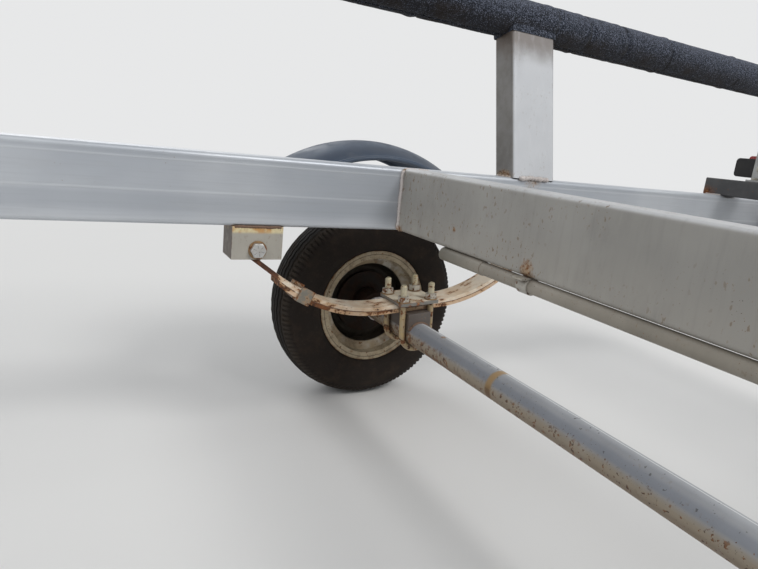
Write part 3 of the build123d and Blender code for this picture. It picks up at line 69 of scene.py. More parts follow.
# The springs are clamped to the axle at a tilt. The leaves are flat there and bend up on both sides.
TILT = math.radians(4.5)
CLAMP_ALONG = Vector((math.cos(TILT), 0, -math.sin(TILT)))
CLAMP_UP = Vector((math.sin(TILT), 0, math.cos(TILT)))
LEAF_MIDDLE = Vector((-1.22097, 0, 0.24624))  # the upper leaf's middle, over the axle
SEAM_DROP = 0.00365  # from there down to the gap between the leaves
BEND = 0.270  # radius of both bends, to the upper leaf's middle
FLAT_AHEAD, FLAT_BEHIND = 0.064, 0.049
TURN_BEHIND = math.radians(31.5)  # beyond it the leaves run straight to the rear hanger
BEND_AHEAD = LEAF_MIDDLE + CLAMP_ALONG * FLAT_AHEAD + CLAMP_UP * BEND
BEND_BEHIND = LEAF_MIDDLE - CLAMP_ALONG * FLAT_BEHIND + CLAMP_UP * BEND
rng = random.Random(7)

# Finishes

RUST_DARK, RUST, RUST_PALE = (0.050, 0.020, 0.011), (0.190, 0.070, 0.024), (0.42, 0.20, 0.075)
EVERY_WAY = (1, 1, 1)


class Tone:
    """A shader socket. Sums and products of tones and numbers become Math nodes."""

    def __init__(self, shader, socket):
        self.shader, self.socket = shader, socket

    def math(self, operation, *terms):
        return self.shader.node("ShaderNodeMath", {"operation": operation}, dict(enumerate(terms)))

    def __add__(self, other):
        return self.math("ADD", self, other)

    def __sub__(self, other):
        return self.math("SUBTRACT", self, other)

    def __rsub__(self, other):
        return self.math("SUBTRACT", other, self)

    def __mul__(self, other):
        return self.math("MULTIPLY", self, other)

    def __abs__(self):
        return self.math("ABSOLUTE", self)

    def __or__(self, other):
        return self.math("MAXIMUM", self, other)

    def __and__(self, other):
        return self.math("MINIMUM", self, other)

    __radd__, __rmul__ = __add__, __mul__


class Shader:
    """A node tree, built up one call at a time."""

    def __init__(self, tree):
        self.tree = tree
        tree.nodes.clear()

    def node(self, kind, settings, sockets, out=0):
        made = self.tree.nodes.new(kind)
        for name, value in settings.items():
            setattr(made, name, value)
        for name, value in sockets.items():
            socket = made.inputs[name]
            if isinstance(value, Tone):
                self.tree.links.new(value.socket, socket)
            elif socket.type == "RGBA":
                socket.default_value = (*value, 1.0)
            else:
                socket.default_value = value
        return Tone(self, made.outputs[out])

    def looked_at(self):
        """1 on rays that the camera, gloss or glass looks along, and 0 on those that light the scene."""
        camera, gloss, glass = [self.node("ShaderNodeLightPath", {}, {}, way) for way in
                                ("Is Camera Ray", "Is Glossy Ray", "Is Transmission Ray")]
        return camera | gloss | glass

    def show(self, shader, output="ShaderNodeOutputMaterial"):
        self.tree.links.new(shader.socket, self.tree.nodes.new(output).inputs["Surface"])


class Finish(Shader):
    """One material, worked up from the surface's own place on the trailer."""

    def __init__(self, name):
        self.material = bpy.data.materials.new(name)
        self.material.use_nodes = True
        super().__init__(self.material.node_tree)
        self.spot = self.node("ShaderNodeTexCoord", {}, {}, "Object")
        self.out = abs(self.along("Y"))
        # The place with the left side folded onto the right, so that one stain serves both
        folded = {0: self.along("X"), 1: self.out, 2: self.along("Z")}
        self.folded = self.node("ShaderNodeCombineXYZ", {}, folded)

    def along(self, axis):
        return self.node("ShaderNodeSeparateXYZ", {}, {0: self.spot}, "XYZ".index(axis))

    def vectors(self, operation, first, second, out="Vector"):
        return self.node("ShaderNodeVectorMath", {"operation": operation}, {0: first, 1: second}, out)

    def cloud(self, size, detail=3.0, rough=0.55, stretch=None):
        where = self.vectors("MULTIPLY", self.spot, stretch) if stretch else self.spot
        return self.node("ShaderNodeTexNoise", {}, {"Vector": where, "Scale": 1 / size, "Detail": detail,
                                                    "Roughness": rough})

    def cells(self, size, out="Distance"):
        return self.node("ShaderNodeTexVoronoi", {}, {"Vector": self.spot, "Scale": 1 / size}, out)

    def ramp(self, value, low, high):
        return self.node("ShaderNodeMapRange", {"interpolation_type": "SMOOTHSTEP"},
                         {"Value": value, "From Min": low, "From Max": high})

    def patches(self, size, low, high, detail=4, rough=0.6, stretch=None):
        return self.ramp(self.cloud(size, detail, rough, stretch), low, high)

    def line(self, value, at, half, soft):
        """1 where the value is within half of a place, fading out over soft."""
        return 1 - self.ramp(abs(value - at), half, half + soft)

    def distance(self, point, keep=EVERY_WAY):
        kept = self.vectors("MULTIPLY", self.vectors("SUBTRACT", self.folded, point), keep)
        return self.node("ShaderNodeVectorMath", {"operation": "LENGTH"}, {0: kept}, "Value")

    def near(self, point, reach, keep=EVERY_WAY):
        """1 at a point, fading out raggedly within the reach; keep below 1 draws it out that way."""
        ragged = self.cloud(reach * 0.4, 4, 0.65) * (1.1 * reach) - 0.55 * reach
        return 1 - self.ramp(self.distance(point, keep) + ragged, reach * 0.25, reach)

    def spread(self, places):
        """The strongest of several places' stains."""
        strongest = self.near(*places[0])
        for place in places[1:]:
            strongest = strongest | self.near(*place)
        return strongest

    def facing(self, direction):
        """1 where the surface faces the direction, down to -1 where it faces away."""
        normal = self.node("ShaderNodeTexCoord", {}, {}, "Normal")
        return self.vectors("DOT_PRODUCT", normal, direction, "Value")

    def edge(self, width):
        """1 along the hard edges, where paint wears first and where painted highlights go."""
        rounded = self.node("ShaderNodeBevel", {"samples": 6}, {"Radius": width})
        flat = self.node("ShaderNodeNewGeometry", {}, {}, "Normal")
        return self.ramp(1 - self.vectors("DOT_PRODUCT", rounded, flat, "Value"), 0.02, 0.22)

    def crevice_shade_and_grime(self, reach):
        """1 in corners and under fittings: painted shade from ambient occlusion, standing also for the dirt
        that stays there.
        """
        open_air = self.node("ShaderNodeAmbientOcclusion", {"samples": 4}, {"Distance": reach}, "AO")
        return 1 - self.ramp(open_air, 0.30, 0.85)

    def mix(self, mask, under, over):
        return self.node("ShaderNodeMix", {"data_type": "RGBA"}, {0: mask, 6: under, 7: over}, 2)

    def rust(self, size=0.012):
        deep = self.mix(self.patches(size, 0.36, 0.6, 4, 0.65), RUST_DARK, RUST)
        return self.mix(self.patches(size * 0.4, 0.54, 0.74, 3), deep, RUST_PALE)

    def coat(self, colour, roughness, height, depth, rounding=0.0009, **fixed):
        """Closes the tree: the shader, its bump and the rounding of hard edges."""
        bump = {"Height": height, "Distance": depth, "Strength": 1.0}
        if rounding:
            bump["Normal"] = self.node("ShaderNodeBevel", {"samples": 6}, {"Radius": rounding})
        normal = self.node("ShaderNodeBump", {}, bump)
        sockets = {"Base Color": colour, "Roughness": roughness, "Normal": normal}
        sockets.update({name.replace("_", " "): value for name, value in fixed.items()})
        self.show(self.node("ShaderNodeBsdfPrincipled", {}, sockets))
        return self.material


def rail_silver():
    """Cool satin silver of the side rails, smooth, with faint lines that the tube mill left."""
    f = Finish("rail_silver")
    wall = 1 - f.ramp(abs(f.facing(Z)), 0.4, 0.8)
    # Heights from the ground: a darker band, a paler foot, two bright lines and a dark one
    up = f.along("Z") + f.cloud(0.5, 2) * 0.005 - 0.0025
    tone = f.mix(f.patches(0.28, 0.34, 0.66, 3, 0.5), (0.425, 0.455, 0.500), (0.530, 0.558, 0.597))
    band = f.ramp(up, 0.394, 0.402) * (1 - f.ramp(up, 0.416, 0.424)) * wall
    tone = f.mix(band * 0.45, tone, (0.365, 0.392, 0.435))
    tone = f.mix((1 - f.ramp(up, 0.384, 0.396)) * wall * 0.5, tone, (0.610, 0.635, 0.670))
    lines = (f.line(up, 0.4668, 0.0003, 0.0016) | f.line(up, 0.4245, 0.0004, 0.0018)) * wall
    tone = f.mix(lines * 0.30, tone, (0.700, 0.725, 0.755))
    tone = f.mix(f.line(up, 0.4715, 0.0006, 0.0016) * wall * 0.30, tone, (0.360, 0.385, 0.430))
    haze = f.patches(0.020, 0.46, 0.80, 4, 0.6, (0.25, 1, 1))
    tone = f.mix(haze * 0.22, tone, (0.420, 0.425, 0.430))
    # Painted highlight: paler silver along the edges.
    tone = f.mix(f.edge(0.0040) * 0.45, tone, (0.720, 0.735, 0.750))
    specks = f.ramp(f.cloud(0.0030, 1), 0.765, 0.79) * f.patches(0.11, 0.50, 0.64)
    weep = f.spread([((x, RAIL_Y, RAIL_TOP), 0.034, (1, 0.8, 1)) for x in POSTS])
    tone = f.mix(weep * 0.6, tone, (0.400, 0.270, 0.150))
    rusty = weep * f.patches(0.0045, 0.50, 0.62) | specks
    tone = f.mix(rusty, tone, f.rust())
    # Painted shade with grime in the corners.
    tone = f.mix(f.crevice_shade_and_grime(0.018) * 0.5, tone, (0.150, 0.115, 0.085))
    drawn = f.cloud(0.0030, 3, 0.6, stretch=(0.03, 1, 1))
    tone = f.mix(f.ramp(drawn, 0.45, 0.75) * 0.16, tone, (0.300, 0.320, 0.352))
    fine = f.cloud(0.0016, 2)
    roughness = 0.36 + fine * 0.07 + haze * 0.10 + rusty * 0.4
    height = fine * 0.10 + f.cloud(0.03, 2) * 0.35 + lines * 0.3
    return f.coat(tone, roughness, height, 0.0004,
                  Metallic=(1 - rusty) * 0.30, Coat_Weight=0.06, Coat_Roughness=0.3)


def aged_paint(name, light, shade, specks, smears, stains, chips, metallic, dirt=0.5, extra=None):
    """Aged grey paint: cloudy and smeared, with dark specks, worn edges and rust at named places, painted
    highlights along the edges and painted shade with grime in the corners.
    """
    f = Finish(name)
    tone = f.mix(f.patches(0.15, 0.34, 0.66, 3, 0.5), shade, light)
    if extra:
        tone = extra(f, tone)
    runs = f.patches(0.0085, 0.50, 0.74, 3, 0.55, (1, 1, 0.10))
    grime = f.patches(0.055, 0.47, 0.80, 5, 0.62, (1, 1, 0.6))
    tone = f.mix(runs * smears * 0.35 + grime * smears * 0.8, tone, tuple(0.60 * c for c in shade))
    pale = f.patches(0.016, 0.56, 0.80, 3, 0.55, (1, 1, 0.22))
    tone = f.mix(pale * smears * 0.5, tone, tuple(1.20 * c for c in light))
    # Painted highlight: paler along the edges.
    tone = f.mix(f.edge(0.0036) * 0.35, tone, tuple(1.35 * c for c in light))
    gate = f.patches(0.10, 0.34, 0.62, 2)
    tall = f.cloud(0.0046, 2, 0.5, stretch=(1, 1, 0.55))
    marks = f.ramp(tall, 0.640, 0.690) * gate * specks
    pits = f.ramp(f.cloud(0.0026, 1), 0.725, 0.755) * gate * min(1.0, 1.6 * specks)
    worn = f.edge(0.0022) * f.patches(0.017, 0.56 - 0.12 * chips, 0.66, 4, 0.65) * chips * 2
    halo = f.ramp(tall, 0.59, 0.70) * gate * specks * 0.22
    tone = f.mix(marks * 0.75, tone, (0.105, 0.075, 0.055))
    rusty = pits | worn
    if stains:
        stain = f.spread(stains)
        rusty = rusty | (stain * f.patches(0.0045, 0.43, 0.58, 4, 0.65))
        halo = halo | (stain * 0.75)
    rusty = rusty & 1.0
    tone = f.mix(halo & 1.0, tone, (0.400, 0.260, 0.135))
    tone = f.mix(rusty, tone, f.rust())
    # Painted shade with grime in the corners; the dirt argument sets how strong.
    tone = f.mix(f.crevice_shade_and_grime(0.016) * dirt, tone, (0.105, 0.075, 0.052))
    fine = f.cloud(0.0016, 2)
    roughness = 0.48 + fine * 0.08 + grime * 0.16 + rusty * 0.4
    height = fine * 0.14 + f.cloud(0.02, 2) * 0.3 - rusty * 0.3
    return f.coat(tone, roughness, height, 0.0004, Metallic=(1 - rusty) * metallic)


def shaded_post_ends(f, tone):
    """Painted shade: the bunk posts' end faces are darker brown-grey, and their tops go dark brown under the
    bunk as painted shade with rust.
    """
    # Painted shade on the faces that look along the trailer.
    end_face_shade = f.ramp(abs(f.facing(X)), 0.5, 0.85) * (0.82 + f.patches(0.03, 0.35, 0.7) * 0.12)
    tone = f.mix(end_face_shade, tone, (0.155, 0.143, 0.128))
    # Painted shade with rust: darker brown at the top, under the bunk.
    head = f.ramp(f.along("Z") + f.cloud(0.03, 4) * 0.03, 0.690, 0.740)
    tone = f.mix(head * 0.75, tone, (0.105, 0.075, 0.055))
    streaks = f.patches(0.0110, 0.54, 0.80, 3, 0.5, (1, 1, 0.10)) * (1 - end_face_shade)
    return f.mix(streaks * 0.22, tone, (0.680, 0.690, 0.705))


def shaded_ends(f, tone):
    """Painted shade: the conduit's outer ends are darker."""
    # Painted shade towards the rails.
    return f.mix(f.ramp(f.out, 0.30, 0.44) * 0.75, tone, (0.120, 0.115, 0.090))


def painted_top_and_foot_light(f, tone):
    """Painted light: the upward faces are paler, and the lower part is warmer and paler as painted sunlight.
    """
    # Painted sunlight: warmer and paler towards the bottom.
    low = 1 - f.ramp(f.along("Z") + f.cloud(0.05, 3) * 0.03, RAIL_UNDER + 0.020, RAIL_UNDER + 0.085)
    tone = f.mix(low * 0.35, tone, (0.420, 0.392, 0.345))
    # Painted light on the upward faces.
    return f.mix(f.ramp(f.facing(Z), 0.25, 0.80) * 0.75, tone, (0.560, 0.572, 0.592))


def axle_zones(f, tone):
    """The axle gets painted light: paler on top with a painted highlight line, a painted reflection as a dark
    band along the front and painted shade on the underside; it is brown below, with rust spots and drips.
    """
    up = f.facing(Z) + f.cloud(0.05, 3) * 0.10 - 0.05
    # Painted light: paler on the top, with a painted highlight line along it.
    top = f.facing((-0.50, 0, 0.866)) + f.cloud(0.02, 3) * 0.03
    tone = f.mix(f.ramp(top, 0.60, 0.90) * 0.45, tone, (0.480, 0.500, 0.530))
    tone = f.mix(f.line(top, 0.93, 0.010, 0.020) * 0.9, tone, (0.740, 0.750, 0.760))
    # Painted reflection: a dark blue-grey band along the front.
    tone = f.mix(f.line(up, 0.55, 0.12, 0.20) * 0.60, tone, (0.190, 0.208, 0.245))
    under = 1 - f.ramp(up, 0.00, 0.45)
    tone = f.mix(under * 0.85, tone, (0.310, 0.252, 0.175))
    # Painted shade: darker brown on the underside.
    tone = f.mix((1 - f.ramp(up, -0.60, -0.05)) * 0.6, tone, (0.170, 0.118, 0.072))
    outer = f.ramp(f.out, 0.34, 0.46)
    spots = f.ramp(f.cloud(0.0085, 4, 0.62) + outer * 0.035, 0.575, 0.620) * under
    spots = spots | f.ramp(f.cloud(0.0040, 2), 0.670, 0.700) * (1 - f.ramp(up, 0.30, 0.60))
    drips = f.patches(0.0095, 0.52, 0.60, 4, 0.6, (1, 1, 0.6)) * (1 - f.ramp(up, 0.0, 0.55)) * outer
    brown = f.mix(f.patches(0.005, 0.4, 0.6), (0.060, 0.026, 0.014), (0.200, 0.085, 0.030))
    tone = f.mix(spots | drips * 0.9, tone, brown)
    scuffs = f.patches(0.005, 0.68, 0.71, 2, 0.6, (0.6, 1, 1)) * f.ramp(up, 0.1, 0.5)
    tone = f.mix(scuffs * 0.7, tone, (0.060, 0.055, 0.055))
    ring = f.line(f.out + f.cloud(0.01, 3) * 0.004, 0.323, 0.0030, 0.0060)
    tone = f.mix(ring * 0.85, tone, (0.370, 0.230, 0.085))
    return f.mix(ring * f.ramp(up * -1, -0.5, 0.3) * 0.8, tone, (0.085, 0.042, 0.022))


def hanger_zones(f, tone):
    """A hanger is yellow cream along its welded top; its returns get painted shade, in dark rust brown."""
    up = f.along("Z") + f.cloud(0.006, 3) * 0.0016
    warm = f.patches(0.02, 0.4, 0.6)
    tone = f.mix(f.ramp(up, RAIL_UNDER - 0.0110, RAIL_UNDER - 0.0060) * 0.9, tone,
                 f.mix(warm, (0.74, 0.64, 0.38), (0.56, 0.29, 0.085)))
    # Painted shade: the returns are darkened by facing, in rust brown.
    returns = f.ramp(abs(f.facing(X)), 0.6, 0.9) * (0.75 + f.patches(0.012, 0.30, 0.55) * 0.25)
    tone = f.mix(returns * 0.95, tone, (0.062, 0.040, 0.026))
    drip = f.near((EYE_BOLT.x - 0.002, RAIL_Y - HANGER_FACE, EYE_BOLT.z - 0.016), 0.010, (1.3, 1, 0.55))
    return f.mix(drip * 0.75, tone, (0.200, 0.090, 0.040))


def lower_leaf(f):
    """1 below the gap between the leaves and 0 above it, as far along as the lower leaf reaches."""
    height = f.vectors("DOT_PRODUCT", f.folded, CLAMP_UP, "Value")
    seam_height = LEAF_MIDDLE.dot(CLAMP_UP) - SEAM_DROP
    ahead = f.ramp(f.along("X"), BEND_AHEAD.x - 0.022, BEND_AHEAD.x - 0.021)
    behind = 1 - f.ramp(f.along("X"), BEND_BEHIND.x - 0.022, BEND_BEHIND.x - 0.021)
    middle = 1 - f.ramp(height, seam_height - 0.0003, seam_height + 0.0003)
    bent = [f.ramp(f.distance(centre, (1, 0, 1)), BEND + SEAM_DROP - 0.0003, BEND + SEAM_DROP + 0.0003)
            for centre in (BEND_AHEAD, BEND_BEHIND)]
    return middle * (1 - ahead) * (1 - behind) + bent[0] * ahead + bent[1] * behind


def leaf_paint():
    """Cream paint gone peach over the leaves, with painted highlights on the upper leaf's edges, dark red
    rust towards the front eye darkened further as painted shade, and painted shade with grime in the
    crevices.
    """
    f = Finish("leaf_cream")
    front = f.ramp(f.along("X") + f.cloud(0.03, 3) * 0.02, AXLE.x + 0.262, AXLE.x + 0.278)
    behind = 1 - f.ramp(f.along("X"), AXLE.x - 0.29, AXLE.x - 0.20)
    wall = 1 - f.ramp(abs(f.facing(Z)), 0.35, 0.75)
    lower = lower_leaf(f)
    worn = f.cloud(0.022, 6, 0.62, stretch=(0.45, 1, 1))
    flakes = f.cloud(0.0042, 4, 0.6)
    ahead = f.ramp(f.along("X"), AXLE.x + 0.12, AXLE.x + 0.22)
    tone = f.mix(f.patches(0.045, 0.40, 0.66), (0.790, 0.690, 0.560), (0.700, 0.540, 0.380))
    tone = f.mix(lower * 0.70, tone, (0.600, 0.390, 0.235))
    tone = f.mix(f.patches(0.030, 0.52, 0.74) * 0.35, tone, (0.520, 0.470, 0.430))
    # Painted highlight with worn paint: paler edges on the upper leaf.
    tone = f.mix(f.edge(0.0016) * (1 - lower) * 0.65, tone, (0.880, 0.830, 0.730))
    wear = worn * 0.72 + flakes * 0.26 + wall * 0.015 + lower * 0.060
    bare = f.ramp(wear + ahead * 0.035 + front * 0.20 + behind * 0.06, 0.565, 0.605)
    stained = f.ramp(worn + ahead * 0.05 + front * 0.2 + wall * 0.03 + lower * 0.08, 0.50, 0.66)
    tone = f.mix(stained * 0.75, tone, (0.480, 0.270, 0.120))
    # Rust near the front eye, darkened as painted shade.
    red = f.mix(f.patches(0.010, 0.40, 0.66), (0.070, 0.028, 0.016), (0.170, 0.066, 0.032))
    tone = f.mix(bare, tone, f.mix(front, f.rust(0.016), red))
    # Painted shade with grime in the crevices.
    tone = f.mix(f.crevice_shade_and_grime(0.008) * 0.6, tone, (0.075, 0.034, 0.020))
    height = (1 - bare) * 0.5 + f.cloud(0.0022, 3) * 0.3 + flakes * bare * 0.5
    return f.coat(tone, 0.55 + bare * 0.3, height, 0.0007)


def painted_shade_on_sides(f, tone):
    """Painted shade: the tie plates' side faces are dull dark grey."""
    side = 1 - f.ramp(f.facing(CLAMP_UP), 0.4, 0.7)
    # Painted shade on the faces that do not look up the clamp.
    return f.mix(side * 0.9, tone, (0.150, 0.147, 0.138))


def rusty_cream(name, cream, bias, grain, marks=None):
    """Cream paint lifting off rust along the edges and in patches."""
    f = Finish(name)
    worn = f.cloud(grain, 5, 0.62)
    edge = f.edge(0.0030)
    tone = f.mix(f.patches(0.03, 0.38, 0.64), cream, tuple(0.74 * c for c in cream))
    tone = f.mix(f.ramp(worn + edge * 0.10 + bias, 0.50, 0.64) * 0.7, tone, (0.420, 0.250, 0.120))
    if marks:
        tone = marks(f, tone)
    bare = f.ramp(worn + f.cloud(0.004, 3) * 0.12 + edge * 0.10 + bias, 0.66, 0.71)
    tone = f.mix(bare, tone, f.rust(0.009))
    # Painted shade with grime in the crevices.
    tone = f.mix(f.crevice_shade_and_grime(0.008) * 0.6, tone, (0.080, 0.042, 0.026))
    return f.coat(tone, 0.50 + bare * 0.3, (1 - bare) * 0.4 + f.cloud(0.002, 3) * 0.3, 0.0005)


def plated_zinc(name, colour, rust, metallic, yellow, marks=None):
    """Zinc plate gone dull, yellowed in patches and rusting where it is thin."""
    f = Finish(name)
    spangle = f.cells(0.006)
    tone = f.mix(f.patches(0.03, 0.35, 0.7), colour, tuple(0.76 * c for c in colour))
    tone = f.mix(f.patches(0.011, 0.45, 0.7) * yellow, tone, (0.470, 0.330, 0.130))
    if marks:
        tone = marks(f, tone)
    bare = f.ramp(f.cloud(0.009, 5, 0.65) + f.edge(0.0012) * 0.05 + rust * 0.2, 0.60, 0.66)
    tone = f.mix(bare, tone, f.rust(0.007))
    # Painted shade with grime in the crevices.
    tone = f.mix(f.crevice_shade_and_grime(0.010) * 0.5, tone, (0.090, 0.062, 0.042))
    return f.coat(tone, 0.40 + spangle * 0.16 + bare * 0.4, f.cloud(0.0018, 3) * 0.3 + bare * 0.4, 0.0003,
                  rounding=0.0005, Metallic=(1 - bare) * metallic)


def grey_nuts(f, tone):
    """The U-bolts' nuts keep grey zinc, above the tan of the legs."""
    height = f.vectors("DOT_PRODUCT", f.folded, CLAMP_UP, "Value")
    seat = AXLE.dot(CLAMP_UP) + NUT_FOOT
    return f.mix(f.ramp(height, seat - 0.00085, seat - 0.00005) * 0.85, tone, (0.470, 0.450, 0.405))


def head_marks(f, tone):
    """Six short dark strokes on the front bolt's head, and brown at its foot."""
    ahead, above = f.along("X") - EYE_BOLT.x, f.along("Z") - EYE_BOLT.z
    turn = ahead.math("ARCTAN2", above, ahead) * (6 / (2 * math.pi))
    stroke = f.line(turn.math("FRACT", turn + 30.2), 0.5, 0.035, 0.03)
    reach = f.distance(EYE_BOLT, (1, 0, 1))
    stroke = stroke * f.ramp(reach, 0.0032, 0.0042) * (1 - f.ramp(reach, 0.0078, 0.0090))
    tone = f.mix(stroke * 0.75, tone, (0.10, 0.09, 0.08))
    foot = 1 - f.ramp(abs(f.out - RAIL_Y), 0.0270, 0.0290)
    return f.mix(foot * 0.8, tone, (0.240, 0.130, 0.060))


def wheel_cream():
    """Cream wheel paint: dirty on the flange, painted shade on the inner side and near black inside the well,
    painted sun and shade with rust in patches on the slope, rust under the tyre's bead.
    """
    f = Finish("wheel_cream")
    reach = f.distance((AXLE.x, WHEEL_Y, AXLE.z), (1, 0, 1))
    inner = 1 - f.ramp(f.out, WHEEL_Y - 0.006, WHEEL_Y + 0.010)
    slope = f.line(f.out, WHEEL_Y - 0.0245, 0.004, 0.002)
    tone = f.mix(f.patches(0.045, 0.35, 0.68), (0.560, 0.510, 0.400), (0.450, 0.395, 0.290))
    # Painted shade: the inner side is darker and browner.
    tone = f.mix(inner * 0.65, tone, (0.330, 0.255, 0.160))
    # Painted sun and shade with rust: pale grey and dark brown patches on the slope.
    slope_rust_sun_and_shade = f.mix(f.patches(0.070, 0.42, 0.60, 3), (0.290, 0.225, 0.145), (0.450, 0.445, 0.415))
    tone = f.mix(slope * 0.70, tone, slope_rust_sun_and_shade)
    grime = f.patches(0.018, 0.44, 0.66, 5, 0.66)
    tone = f.mix(grime * 0.55, tone, (0.130, 0.092, 0.060))
    scratches = f.patches(0.0035, 0.60, 0.68, 3, 0.6, (1, 3, 1)) * f.ramp(reach, 0.096, 0.100)
    tone = f.mix(scratches * 0.6, tone, (0.075, 0.055, 0.040))
    groove = f.line(reach + f.cloud(0.02, 3) * 0.0015, 0.1085, 0.0004, 0.0010)
    tone = f.mix(groove * 0.6, tone, (0.070, 0.050, 0.036))
    bead = f.ramp(reach + f.cloud(0.012, 4, 0.65) * 0.010, 0.1165, 0.1215)
    chips = f.ramp(f.cloud(0.007, 4, 0.6) + f.edge(0.0018) * 0.09, 0.645, 0.69)
    rusty = (bead * f.patches(0.01, 0.34, 0.5)) | chips
    tone = f.mix(rusty, tone, f.rust(0.008))
    # Painted shade: near black inside the well and over the disc.
    dish = f.ramp(reach, 0.070, 0.084) * 0.0065
    deep = f.ramp(f.out, WHEEL_Y - 0.0220, WHEEL_Y - 0.0190)
    deep = deep * (1 - f.ramp(f.out - dish, WHEEL_Y + 0.001, WHEEL_Y + 0.003))
    tone = f.mix(deep * 0.96, tone, (0.0075, 0.0055, 0.0042))
    return f.coat(tone, 0.60 + grime * 0.2 + rusty * 0.3, f.cloud(0.0015, 2) * 0.2 - rusty * 0.4, 0.0004,
                  Specular_IOR_Level=0.12)


def greasy_iron():
    """Hub iron under a film of grease, near black on its inner side as painted shade."""
    f = Finish("greasy_iron")
    film = f.patches(0.016, 0.40, 0.64, 5)
    tone = f.mix(film, f.mix(f.patches(0.008, 0.4, 0.7), (0.060, 0.030, 0.018), (0.120, 0.055, 0.028)),
                 (0.028, 0.022, 0.018))
    # Painted shade on the inner side.
    inner = 1 - f.ramp(f.out, WHEEL_Y, WHEEL_Y + 0.006)
    tone = f.mix(inner * 0.8, tone, (0.0075, 0.0055, 0.0042))
    return f.coat(tone, 0.74 - film * 0.30, f.cloud(0.003, 4) * 0.6, 0.0006, Specular_IOR_Level=0.10)


def tyre_rubber():
    """Old rubber, brown black, dusty on the walls and in the grooves."""
    f = Finish("tyre_rubber")
    reach = f.distance((AXLE.x, WHEEL_Y, AXLE.z), (1, 0, 1))
    tread = f.ramp(reach, 0.178, 0.186)
    dust = f.patches(0.030, 0.44, 0.74, 5, 0.62)
    tone = f.mix(tread, (0.016, 0.0115, 0.0090), (0.013, 0.0110, 0.0100))
    tone = f.mix(dust * 0.32, tone, (0.070, 0.050, 0.035))
    tone = f.mix(tread * (1 - f.ramp(reach, 0.1880, 0.1925)) * 0.25, tone, (0.110, 0.085, 0.062))
    scuff = f.patches(0.004, 0.56, 0.74, 3, 0.6, (1, 2.5, 1))
    tone = f.mix(scuff * 0.22, tone, (0.060, 0.050, 0.043))
    grain = f.cloud(0.0012, 3) * 0.5 + f.cloud(0.009, 3) * 0.4
    return f.coat(tone, 0.78 + dust * 0.15, grain, 0.0004, rounding=0, Specular_IOR_Level=0.22)


def bunk_carpet():
    """Marine carpet: blue black needled pile peppered with white and lilac, with painted light on the upper
    faces and painted shade in the creases.
    """
    f = Finish("bunk_carpet")
    pile, pepper = f.cells(0.0014), f.cells(0.0014, "Color")
    pick = f.node("ShaderNodeSeparateXYZ", {}, {0: pepper})
    tint = f.node("ShaderNodeSeparateXYZ", {}, {0: pepper}, 1)
    up = f.facing(Z)
    tone = f.mix(f.patches(0.08, 0.35, 0.7, 3), (0.0125, 0.0160, 0.0245), (0.0190, 0.0240, 0.0350))
    # Painted light: the upward faces are paler and carry more white flecks.
    tone = f.mix(f.ramp(up, 0.20, 0.95) * 0.55, tone, (0.066, 0.074, 0.096))
    flecks = f.ramp(pick + up * 0.24 + f.cloud(0.03, 3) * 0.16, 0.60, 0.80) * (1 - f.ramp(pile, 0.45, 0.75))
    tone = f.mix(flecks * 0.80, tone, f.mix(tint, (0.085, 0.100, 0.150), (0.285, 0.315, 0.410)))
    here = f.along("X") + f.cloud(0.06, 2) * 0.02 - 0.01
    # Painted shade in the creases.
    crease_shade = f.line(here, CREASES[0], 0.0010, 0.0060)
    for crease in CREASES[1:]:
        crease_shade = crease_shade | f.line(here, crease, 0.0010, 0.0060)
    tone = f.mix(crease_shade * f.patches(0.03, 0.38, 0.58, 2) * 0.8, tone, (0.005, 0.006, 0.009))
    dirt = (0.4 + f.patches(0.05, 0.40, 0.66) * 0.6) * f.ramp(up * -1, -0.05, 0.65)
    tone = f.mix(dirt * 0.75, tone, (0.022, 0.015, 0.010))
    return f.coat(tone, 0.95, (1 - pile) * 0.8 + f.cloud(0.0032, 3, 0.7) * 0.8, 0.0016, rounding=0,
                  Specular_IOR_Level=0.1, Sheen_Weight=0.08, Sheen_Roughness=0.6)


def fender_paint():
    """Slate blue satin paint, darker along the middle of the skirt and pale on the lips."""
    f = Finish("fender_paint")
    tone = f.mix(f.patches(0.16, 0.35, 0.7, 3), (0.033, 0.053, 0.089), (0.048, 0.073, 0.115))
    reach = f.distance((FENDER_X, WHEEL_Y, AXLE.z), (1, 0, 1)) + f.cloud(0.12, 2) * 0.008
    tone = f.mix(f.line(reach, 0.312, 0.003, 0.007) * 0.45, tone, (0.024, 0.034, 0.055))
    tone = f.mix((1 - f.ramp(reach, 0.298, 0.303)) * 0.5, tone, (0.150, 0.175, 0.215))
    dust = f.ramp(f.cloud(0.035, 5, 0.6) + f.facing(Z) * 0.10, 0.52, 0.80)
    tone = f.mix(dust * 0.22, tone, (0.200, 0.205, 0.215))
    scratch = f.patches(0.0016, 0.70, 0.76, 2, 0.5, (1, 0.05, 1)) * f.patches(0.06, 0.5, 0.62, 2)
    tone = f.mix(scratch * 0.5, tone, (0.200, 0.215, 0.240))
    rusty = f.edge(0.0020) * f.patches(0.015, 0.58, 0.66, 4, 0.65)
    tone = f.mix(rusty, tone, f.rust(0.008))
    dents = f.cloud(0.014, 2) * 0.35 + f.cloud(0.0015) * 0.05
    return f.coat(tone, 0.40 + dust * 0.28 + rusty * 0.3, dents, 0.0004, Specular_IOR_Level=0.32)


